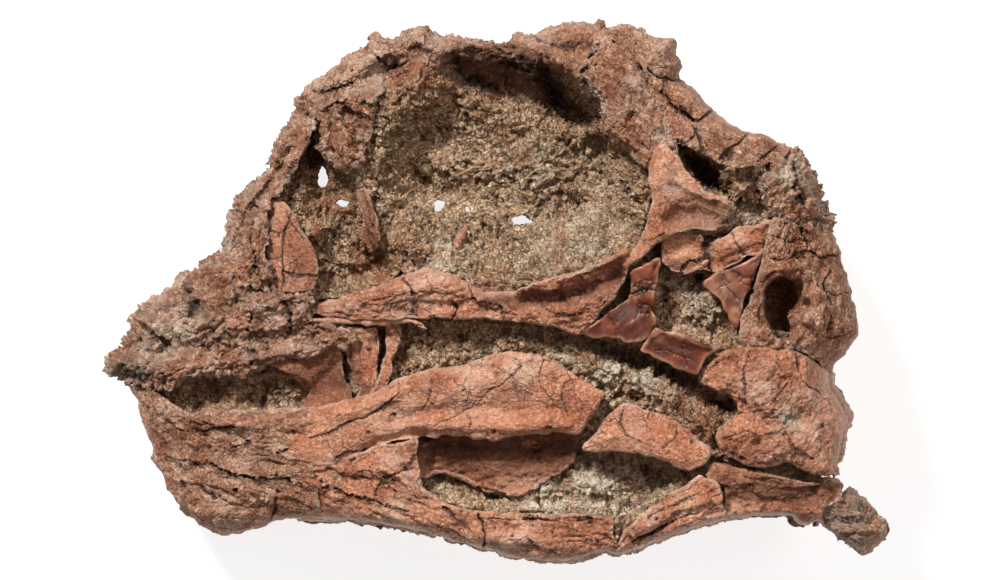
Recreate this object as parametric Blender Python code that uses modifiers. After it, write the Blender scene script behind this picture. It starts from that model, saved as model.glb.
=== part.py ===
"""Skull of a young toothless dinosaur, preserved in sandstone, lying on its right side.

X runs from the beak to the back of the head, Y from the chin to the skull roof, and Z up from the
floor to the left side of the head. Each bone is a crowned slab over a core of sandstone. A slab is
an outline drawn on the side of the head, whose two faces follow the height functions below.
"""
from itertools import product

import bmesh
import bpy
import numpy as np
from mathutils import Matrix

MM = 0.001
SKULL_LENGTH = 38.0     # beak tip to the back of the braincase, which sets the outlines below
GAP = 0.3               # clearance between neighbouring pieces
SEAT_DEPTH = 1.3        # from the outer surface of the head down to the bed that the bones lie on
FLOOR_FLAT = 0.0        # the right side is worn to this level, where it rests
MID_HEIGHT = 5.6        # height of the head's middle plane above the floor, halfway along
MID_SLOPE = 0.1         # rise of the middle plane towards the wide back of the head
ROOF_EDGE = 0.3         # share of the half width that is left at the edge of the roof and beak
ROOF_ROUND = 3.2        # rounding of the roof and beak, measured in from the outline
JAW_EDGE = 0.78         # the same share along the lower edge of the jaw's two branches
JAW_ROUND = 1.2
SPAN_POINTS = 3         # points drawn for each span of an outline
TALL = 30.0             # height of a cutter, past both faces of any slab

# Colour and roughness of what the pieces are made of
BONE = ((0.36, 0.15, 0.085), 0.6)
WEATHERED_BONE = ((0.34, 0.17, 0.11), 0.85)
SANDSTONE = ((0.38, 0.28, 0.19), 0.95)

# Half width of the head at stations from the beak to the back
WIDTH_STATIONS = (-19.6, -17.0, -14.0, -10.0, -5.0, 0.0, 5.0, 10.0, 14.0, 18.0, 19.6)
HALF_WIDTHS = (2.0, 3.4, 4.2, 4.6, 5.1, 5.7, 6.3, 6.7, 6.6, 5.6, 4.4)

# Edge of the whole fossil as seen from its left side, from the beak tip over the roof
SILHOUETTE = [
    (-19.6, -3.8), (-18.6, -2.1), (-17.5, -0.7), (-16.0, 0.9), (-14.6, 1.4), (-13.4, 3.1),
    (-12.8, 4.7), (-11.4, 6.3), (-11.0, 7.5), (-9.9, 9.5), (-8.2, 11.0), (-6.6, 12.1),
    (-5.8, 12.8), (-3.4, 13.4), (-1.2, 12.8), (0.2, 12.6), (2.6, 13.15), (5.3, 13.5),
    (7.2, 13.0), (8.9, 12.5), (9.3, 10.9), (10.7, 9.2), (12.8, 7.8), (13.6, 7.75),
    (15.3, 7.1), (16.4, 5.2), (16.9, 3.0), (17.5, 0.9), (18.0, -1.2), (18.2, -2.1),
    (16.9, -3.8), (16.8, -4.6), (17.6, -6.4), (17.3, -8.6), (17.0, -9.1), (18.1, -10.1),
    (19.6, -11.7), (18.4, -13.2), (16.4, -11.6), (14.7, -11.3), (12.0, -11.4), (9.0, -12.1),
    (6.4, -13.1), (3.6, -13.5), (0.0, -13.15), (-4.5, -12.0), (-8.8, -11.55), (-11.0, -11.6),
    (-14.2, -12.3), (-16.1, -10.8), (-17.3, -8.5), (-18.2, -5.2), (-18.9, -4.5),
]

# Hollows in the side of the head: the rim, the depth below the bed, and the width of the wall
HOLLOWS = {
    "orbit": ([
        (-6.2, 5.6), (-6.0, 7.4), (-5.6, 8.8), (-4.8, 10.2), (-3.2, 11.4), (-1.0, 12.0),
        (1.0, 12.1), (2.6, 11.7), (4.0, 10.7), (5.0, 9.6), (6.2, 8.4), (7.2, 7.2), (7.6, 6.0),
        (7.7, 4.5), (7.3, 2.9), (6.3, 1.8), (4.6, 1.2), (2.4, 0.5), (0.0, 0.3), (-2.0, 1.0),
        (-3.6, 1.9), (-5.0, 3.1), (-5.9, 4.2),
    ], 2.4, 2.8),
    "under_roof": ([
        (-2.6, 12.2), (-0.6, 12.35), (0.3, 12.35), (1.5, 12.05), (2.8, 11.5), (3.6, 10.95),
        (4.4, 10.1), (5.15, 9.3), (5.5, 8.6), (5.4, 7.4), (4.4, 6.6), (2.8, 6.6), (1.0, 7.2),
        (-1.0, 8.2), (-2.6, 9.4), (-3.2, 10.8),
    ], 3.3, 2.1),
    "roof_pocket": ([
        (2.2, 11.75), (2.8, 11.5), (3.6, 10.95), (4.4, 10.1), (5.15, 9.3), (5.45, 8.7),
        (5.2, 7.9), (4.2, 7.5), (3.0, 8.2), (2.2, 9.4), (1.8, 10.6),
    ], 4.4, 0.9),
    "antorbital": ([
        (-9.6, 5.8), (-8.9, 8.4), (-8.0, 6.8), (-6.9, 5.2), (-6.2, 3.2), (-5.2, 1.4),
        (-6.2, 0.3), (-8.7, 0.0), (-9.0, 2.2), (-9.6, 3.6),
    ], 1.2, 0.8),
    "temple": ([
        (9.3, 6.9), (10.2, 6.9), (11.3, 6.1), (11.8, 5.0), (11.2, 4.7), (10.3, 5.1), (9.6, 5.9),
    ], 3.2, 0.5),
    "cheek": ([
        (-5.9, -1.9), (-3.0, -1.5), (2.0, -1.8), (5.0, -2.3), (8.0, -3.2), (10.0, -4.2),
        (9.8, -5.0), (7.6, -4.0), (5.6, -3.6), (3.0, -2.8), (0.0, -2.6), (-3.0, -3.5),
        (-6.4, -4.6), (-8.6, -5.6), (-9.4, -4.6), (-7.4, -2.6),
    ], 0.9, 0.6),
    "mouth": ([
        (-15.9, -5.0), (-14.4, -4.1), (-12.0, -4.3), (-9.8, -4.2), (-8.6, -5.5), (-10.5, -6.1),
        (-13.4, -6.0), (-15.2, -6.2),
    ], 0.9, 0.5),
    "jaw_window": ([
        (-3.8, -8.0), (-2.4, -7.3), (1.5, -7.3), (4.2, -7.3), (6.5, -8.0), (8.4, -8.5),
        (9.2, -9.3), (8.4, -10.2), (6.8, -11.0), (3.0, -11.1), (-0.5, -11.0), (-2.8, -10.5),
        (-3.7, -9.4),
    ], 0.9, 0.7),
    "cheek_window": ([
        (8.1, 0.9), (9.4, 0.9), (10.4, 0.3), (11.1, -0.8), (11.9, -1.6), (11.2, -2.8),
        (8.9, -2.1), (7.9, -1.3),
    ], 0.5, 0.6),
}
# Swellings and dents of the sandstone: a line or a point, its half width and its height
SAND_FORMS = [
    ([(-4.6, 8.6), (-2.6, 9.4), (-0.4, 9.0)], 0.9, 0.5),
    ([(-3.0, 6.2), (-0.5, 6.0), (2.0, 6.2)], 0.8, 0.3),
    ([(2.5, 2.2), (5.0, 3.6), (6.4, 5.4)], 0.9, 0.7),
    ([(-3.8, 4.4), (-2.4, 3.6), (-1.6, 2.6)], 0.5, 0.35),
    ([(-6.0, 6.4), (-5.8, 8.2), (-5.2, 9.8), (-4.4, 11.0)], 0.9, 0.6),
    ([(3.4, 4.6), (4.2, 4.2)], 0.4, -0.6),
    ([(5.2, 7.0), (6.0, 6.6)], 0.45, -0.9),
    ([(-4.0, 6.0), (-3.4, 5.6)], 0.35, -0.6),
    ([(-9.6, 8.1), (-9.3, 6.8)], 0.5, -1.4),
    ([(-9.0, 3.0), (-8.2, 3.1)], 0.5, 0.8),
    ([(-6.9, 2.6)], 0.4, 0.5),
    ([(-8.0, 1.4), (-7.0, 1.2)], 0.5, 0.5),
    ([(-6.0, 1.3)], 0.5, -0.5),
    ([(-9.0, 1.9), (-8.7, 0.8)], 0.3, -0.8),
    ([(-5.0, 2.4), (-4.2, 1.9)], 0.35, 0.5),
    ([(-3.0, -1.7), (1.0, -1.9), (4.2, -2.4)], 0.4, -0.5),
    ([(5.2, -2.8), (7.2, -3.4), (10.0, -4.5)], 0.45, -1.3),
    ([(4.6, -3.8), (6.5, -4.4), (8.2, -5.2)], 0.6, 0.6),
    ([(9.0, -6.2), (10.6, -6.9)], 0.8, 0.7),
    ([(10.9, -5.5), (11.6, -5.7)], 0.35, -1.4),
    ([(-12.6, -5.2), (-11.0, -5.0)], 0.6, 0.6),
    ([(-14.2, -5.0)], 0.5, -0.6),
    ([(1.0, -10.6), (3.4, -10.0), (6.0, -9.6)], 0.7, 0.6),
    ([(7.8, -9.2), (8.6, -9.4)], 0.5, -0.7),
    ([(6.8, -10.8)], 0.3, -0.7),
    ([(5.9, -11.4), (6.0, -12.8)], 0.5, 1.2),
    ([(9.6, -0.6), (10.6, -0.9)], 0.7, 0.5),
    ([(12.4, 5.2), (13.0, 5.8)], 0.8, 1.2),
    ([(12.8, 3.9)], 0.35, -0.4),
]
LUMP_HEIGHT = 0.24      # height of the sandstone's broad lumps
LUMP_SPAN = 1.7         # and their distance apart

# Openings that go right through the sandstone between the two eye sockets: centre and half sizes
PINHOLES = [(1.45, 3.5, 0.5, 0.26), (-2.85, 4.25, 0.26, 0.24), (-8.6, 5.65, 0.24, 0.44)]


def smooth_outline(points, spans=SPAN_POINTS):
    """Closed Catmull-Rom curve through the points, with a few points on each span."""
    p = np.array(points, float)
    before, after, second = np.roll(p, 1, 0), np.roll(p, -1, 0), np.roll(p, -2, 0)
    rows = []
    for t in np.arange(spans) / spans:
        rows.append(0.5 * (2 * p + (after - before) * t
                           + (2 * before - 5 * p + 4 * after - second) * t**2
                           + (3 * p - before - 3 * after + second) * t**3))
    return np.stack(rows, 1).reshape(-1, 2)


def grown(outline, by):
    """The outline moved outwards along its own normals, or inwards where by is negative."""
    along = np.roll(outline, -1, 0) - np.roll(outline, 1, 0)
    normal = np.stack([along[:, 1], -along[:, 0]], 1)
    normal /= np.linalg.norm(normal, axis=1)[:, None] + 1e-9
    x, y = outline.T
    turning = np.sum(x * np.roll(y, -1) - y * np.roll(x, -1))
    return outline + normal * by * np.sign(turning)


def depth_inside(x, y, outline):
    """Distance to the outline, positive inside it."""
    near = np.full(x.shape, 1e9)
    inside = np.zeros(x.shape, bool)
    for (x0, y0), (x1, y1) in zip(outline, np.roll(outline, -1, 0)):
        dx, dy = x1 - x0, y1 - y0
        t = np.clip(((x - x0) * dx + (y - y0) * dy) / (dx * dx + dy * dy + 1e-12), 0, 1)
        near = np.minimum(near, np.hypot(x - x0 - t * dx, y - y0 - t * dy))
        if y0 != y1:
            inside ^= ((y0 > y) != (y1 > y)) & (x < (y - y0) / (y1 - y0) * dx + x0)
    return np.where(inside, near, -near)


def step_between(low, high, value):
    """Smooth step from 0 at low to 1 at high."""
    t = np.clip((value - low) / (high - low), 0, 1)
    return t * t * (3 - 2 * t)


def quarter_round(t):
    """Profile of a rounded edge: 0 at the edge, 1 from t = 1 inwards, as a quarter circle."""
    return np.sqrt(1 - (1 - np.clip(t, 0, 1)) ** 2)


EDGE = smooth_outline(SILHOUETTE)
RIMS = {name: (smooth_outline(rim), depth, wall) for name, (rim, depth, wall) in HOLLOWS.items()}


def middle(x):
    """Height of the head's middle plane."""
    return MID_HEIGHT + MID_SLOPE * x


def half_thickness(x, y):
    """Half the head's thickness: the station's half width, rounded over towards the silhouette."""
    jaw = step_between(-6.0, -9.0, y) * step_between(-10.0, -6.0, x)
    edge = ROOF_EDGE + (JAW_EDGE - ROOF_EDGE) * jaw
    radius = ROOF_ROUND + (JAW_ROUND - ROOF_ROUND) * jaw
    inset = np.maximum(depth_inside(x, y, EDGE), 0)
    return np.interp(x, WIDTH_STATIONS, HALF_WIDTHS) * (edge + (1 - edge) * quarter_round(inset / radius))


def hollow(x, y):
    """How far the hollows lower the bed at each point."""
    deep = np.zeros(x.shape)
    for rim, depth, wall in RIMS.values():
        deep = np.maximum(deep, depth * step_between(0, wall, depth_inside(x, y, rim)))
    return deep


def bed(x, y):
    """Half thickness of the sandstone that the bones of one side lie on."""
    return np.maximum(half_thickness(x, y) - SEAT_DEPTH - hollow(x, y), 0.4)


def collection(name):
    made = bpy.data.collections.new(name)
    bpy.context.scene.collection.children.link(made)
    return made


def material(name, finish):
    colour, roughness = finish
    made = bpy.data.materials.new(name)
    made.use_nodes = True
    shader = made.node_tree.nodes["Principled BSDF"]
    shader.inputs["Base Color"].default_value = (*colour, 1)
    shader.inputs["Roughness"].default_value = roughness
    shader.inputs["Metallic"].default_value = 0.0
    return made


def prism(name, outline, low, high, home):
    """Flat outline filled and extruded from low to high, as a welded mesh."""
    curve = bpy.data.curves.new(name, "CURVE")
    curve.dimensions = "2D"
    curve.fill_mode = "BOTH"
    curve.extrude = (high - low) / 2 * MM
    spline = curve.splines.new("POLY")
    spline.points.add(len(outline) - 1)
    flat = np.zeros((len(outline), 4))
    flat[:, :2] = outline * MM
    flat[:, 3] = 1
    spline.points.foreach_set("co", flat.ravel())
    spline.use_cyclic_u = True
    drawn = bpy.data.objects.new(name, curve)
    bpy.context.scene.collection.objects.link(drawn)
    bpy.context.view_layer.update()
    graph = bpy.context.evaluated_depsgraph_get()
    mesh = bpy.data.meshes.new_from_object(drawn.evaluated_get(graph))
    bpy.data.objects.remove(drawn)
    welded = bmesh.new()
    welded.from_mesh(mesh)
    bmesh.ops.remove_doubles(welded, verts=welded.verts, dist=1e-7)
    bmesh.ops.recalc_face_normals(welded, faces=welded.faces)
    bmesh.ops.translate(welded, verts=welded.verts, vec=(0, 0, (high + low) / 2 * MM))
    welded.to_mesh(mesh)
    welded.free()
    made = bpy.data.objects.new(name, mesh)
    home.objects.link(made)
    return made


def cutter(name, outline, grow):
    """Tall prism used to trim a slab, out of sight."""
    made = prism(name, grown(outline, grow), -TALL, TALL, cutters)
    made.hide_render = True
    made.display_type = "WIRE"
    return made


def trim(piece, tool, operation):
    boolean = piece.modifiers.new(operation.title(), "BOOLEAN")
    boolean.operation = operation
    boolean.object = tool


def slab(name, points, thickness, faces, finish, triangles, cuts=(), voxel=0.34, holes=()):
    """One piece: its outline as a prism, trimmed by the silhouette and its neighbours, remeshed
    evenly, then each point carried to its height between the two faces, which are functions."""
    outline = smooth_outline(points)
    piece = prism(name, grown(outline, -GAP / 2), 0, thickness, fossil)
    tools = [(cutter("edge of " + name, EDGE, 0.0), "INTERSECT")]
    tools += [(cutter(name + " clear of " + other, smooth_outline(OUTLINES[other]), GAP / 2),
               "DIFFERENCE") for other in cuts]
    tools += [(cutter(name + " pinhole", ring, 0.0), "DIFFERENCE") for ring in holes]
    for tool, operation in tools:
        trim(piece, tool, operation)
    even = piece.modifiers.new("Even faces", "REMESH")
    even.mode = "VOXEL"
    even.voxel_size = voxel * MM
    even.use_smooth_shade = True
    bpy.context.view_layer.update()
    graph = bpy.context.evaluated_depsgraph_get()
    mesh = bpy.data.meshes.new_from_object(piece.evaluated_get(graph))
    piece.modifiers.clear()
    piece.data = mesh
    for tool, _ in tools:
        bpy.data.objects.remove(tool)
    place = np.empty(len(mesh.vertices) * 3, np.float32)
    mesh.vertices.foreach_get("co", place)
    x, y, z = (place.reshape(-1, 3) / MM).astype(float).T
    rim = depth_inside(x, y, outline)
    for other in cuts:
        rim = np.minimum(rim, -depth_inside(x, y, smooth_outline(OUTLINES[other])))
    low, high = faces(x, y, np.maximum(rim, 0))
    share = np.clip(z / thickness, 0, 1)
    low, high = np.maximum(low, FLOOR_FLAT), np.maximum(high, FLOOR_FLAT + 0.5)
    mesh.vertices.foreach_set("co", (np.stack([x, y, low + share * (high - low)], 1) * MM).ravel())
    mesh.update()
    mesh.materials.clear()
    mesh.materials.append(material(name, finish))
    fewer = piece.modifiers.new("Fewer faces", "DECIMATE")
    fewer.ratio = min(1.0, triangles / (2 * len(mesh.polygons)))
    mesh.shade_smooth()
    return piece


def plate(name, points, lift, drop, radius, triangles, side, cuts=()):
    """A bone of one side. It lies on the bed, and its outer face stands lift above the head's
    surface and falls by drop at its rim, over radius. The right side is the mirror of the left."""
    def faces(x, y, rim):
        inner = bed(x, y)
        outer = half_thickness(x, y) + lift - drop * (1 - quarter_round(rim / radius))
        outer = np.maximum(outer, inner + 0.5)
        if side > 0:
            return middle(x) + inner, middle(x) + outer
        return middle(x) - outer, middle(x) - inner
    return slab(name, points, SEAT_DEPTH + 0.6, faces, BONE, triangles, cuts)


def deep_plate(name, points, height, side, triangles, cuts=()):
    """A thin bone inside a hollow: height above the bed there."""
    def faces(x, y, rim):
        inner = bed(x, y)
        outer = inner + height - 0.3 * (1 - quarter_round(rim / 0.5))
        return middle(x) + inner, middle(x) + outer
    return slab(name, points, 0.9, faces, BONE, triangles, cuts, voxel=0.28)


def through(name, points, lift, triangles, drop=0.0, radius=1.0, cuts=(), dents=(),
            voxel=0.45):
    """A bone that spans the head from side to side, such as the roof or the beak. The eye sockets
    and any dents are sunk into both its faces."""
    def faces(x, y, rim):
        outer = half_thickness(x, y) + lift - drop * (1 - quarter_round(rim / radius))
        outer = outer - hollow(x, y)
        for ring, depth, wall in dents:
            outer = outer - depth * step_between(0, wall, depth_inside(x, y, smooth_outline(ring)))
        outer = np.maximum(outer, 0.5)
        return middle(x) - outer, middle(x) + outer
    return slab(name, points, 8.0, faces, WEATHERED_BONE, triangles, cuts, voxel)


def lattice(cell, seed):
    """Number from 0 to 1 for each whole-number cell, by mixing its three indices with the seed."""
    i, j, k = cell.astype(np.int64).T.astype(np.uint32)
    h = i * np.uint32(374761393) + j * np.uint32(668265263) + k * np.uint32(2246822519)
    h += np.uint32(seed * 2654435761 % 2**32)
    h ^= h >> np.uint32(15)
    h *= np.uint32(2246822519)
    h ^= h >> np.uint32(13)
    h *= np.uint32(3266489917)
    h ^= h >> np.uint32(16)
    return h / 2**32


TURN = np.array([[0.36, 0.48, -0.8], [-0.8, 0.6, 0.0], [0.48, 0.64, 0.6]])


def lumps(x, y, layer):
    """Broad lumps: lattice numbers blended between cells, and a finer turned copy half as high."""
    q = np.stack([x, y, np.full(len(x), layer)], 1) / LUMP_SPAN
    total = 0.0
    for seed, strength in ((201, 1.0), (232, 0.5)):
        cell = np.floor(q)
        f = q - cell
        f = f * f * f * (f * (f * 6 - 15) + 10)
        blend = 0.0
        for corner in product((0, 1), repeat=3):
            weight = np.prod(np.where(corner, f, 1 - f), axis=1)
            blend = blend + weight * lattice(cell + corner, seed)
        total = total + strength * (2 * blend - 1)
        q = q @ TURN * 2.03 + 17.3
    return LUMP_HEIGHT * total / 1.5 * 1.6


def forms(x, y):
    """Height that the swellings and dents add at each point, a bell across each line."""
    total = np.zeros(len(x))
    for line, width, height in SAND_FORMS:
        near = np.full(len(x), np.inf)
        for (ax, ay), (bx, by) in zip(line, line[1:] or line):
            span = max((bx - ax) ** 2 + (by - ay) ** 2, 1e-9)
            t = np.clip(((x - ax) * (bx - ax) + (y - ay) * (by - ay)) / span, 0, 1)
            near = np.minimum(near, np.hypot(x - ax - t * (bx - ax), y - ay - t * (by - ay)))
        total += height * np.exp(-(near / width) ** 2)
    return total


def beside(x, y, names):
    """0 under the named bones, rising to 1 at half a millimetre from them."""
    nearest = np.full(len(x), -9.0)
    for name in names:
        nearest = np.maximum(nearest, depth_inside(x, y, smooth_outline(OUTLINES[name])))
    return step_between(0.05, 0.5, -nearest)


def core(name, points, triangles, cuts=(), holes=()):
    """Sandstone that fills the head between the beds of the two sides. Both its faces are lumpy,
    and no lump rises under a bone."""
    def faces(x, y, rim):
        paired = [row[0] for row in PAIRED]
        outer = bed(x, y) - GAP - 0.5 * (1 - quarter_round(rim / 0.8))
        left = lumps(x, y, 0.0) + forms(x, y)
        left = np.where(left > 0, left * beside(x, y, [*paired, *LEFT_ONLY]), left)
        right = lumps(x, y, 9.0)
        right = np.where(right > 0, right * beside(x, y, paired), right)
        return middle(x) - np.maximum(outer + right, 0.5), middle(x) + np.maximum(outer + left, 0.5)
    return slab(name, points, 6.0, faces, SANDSTONE, triangles, cuts, 0.35, holes)


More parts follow.
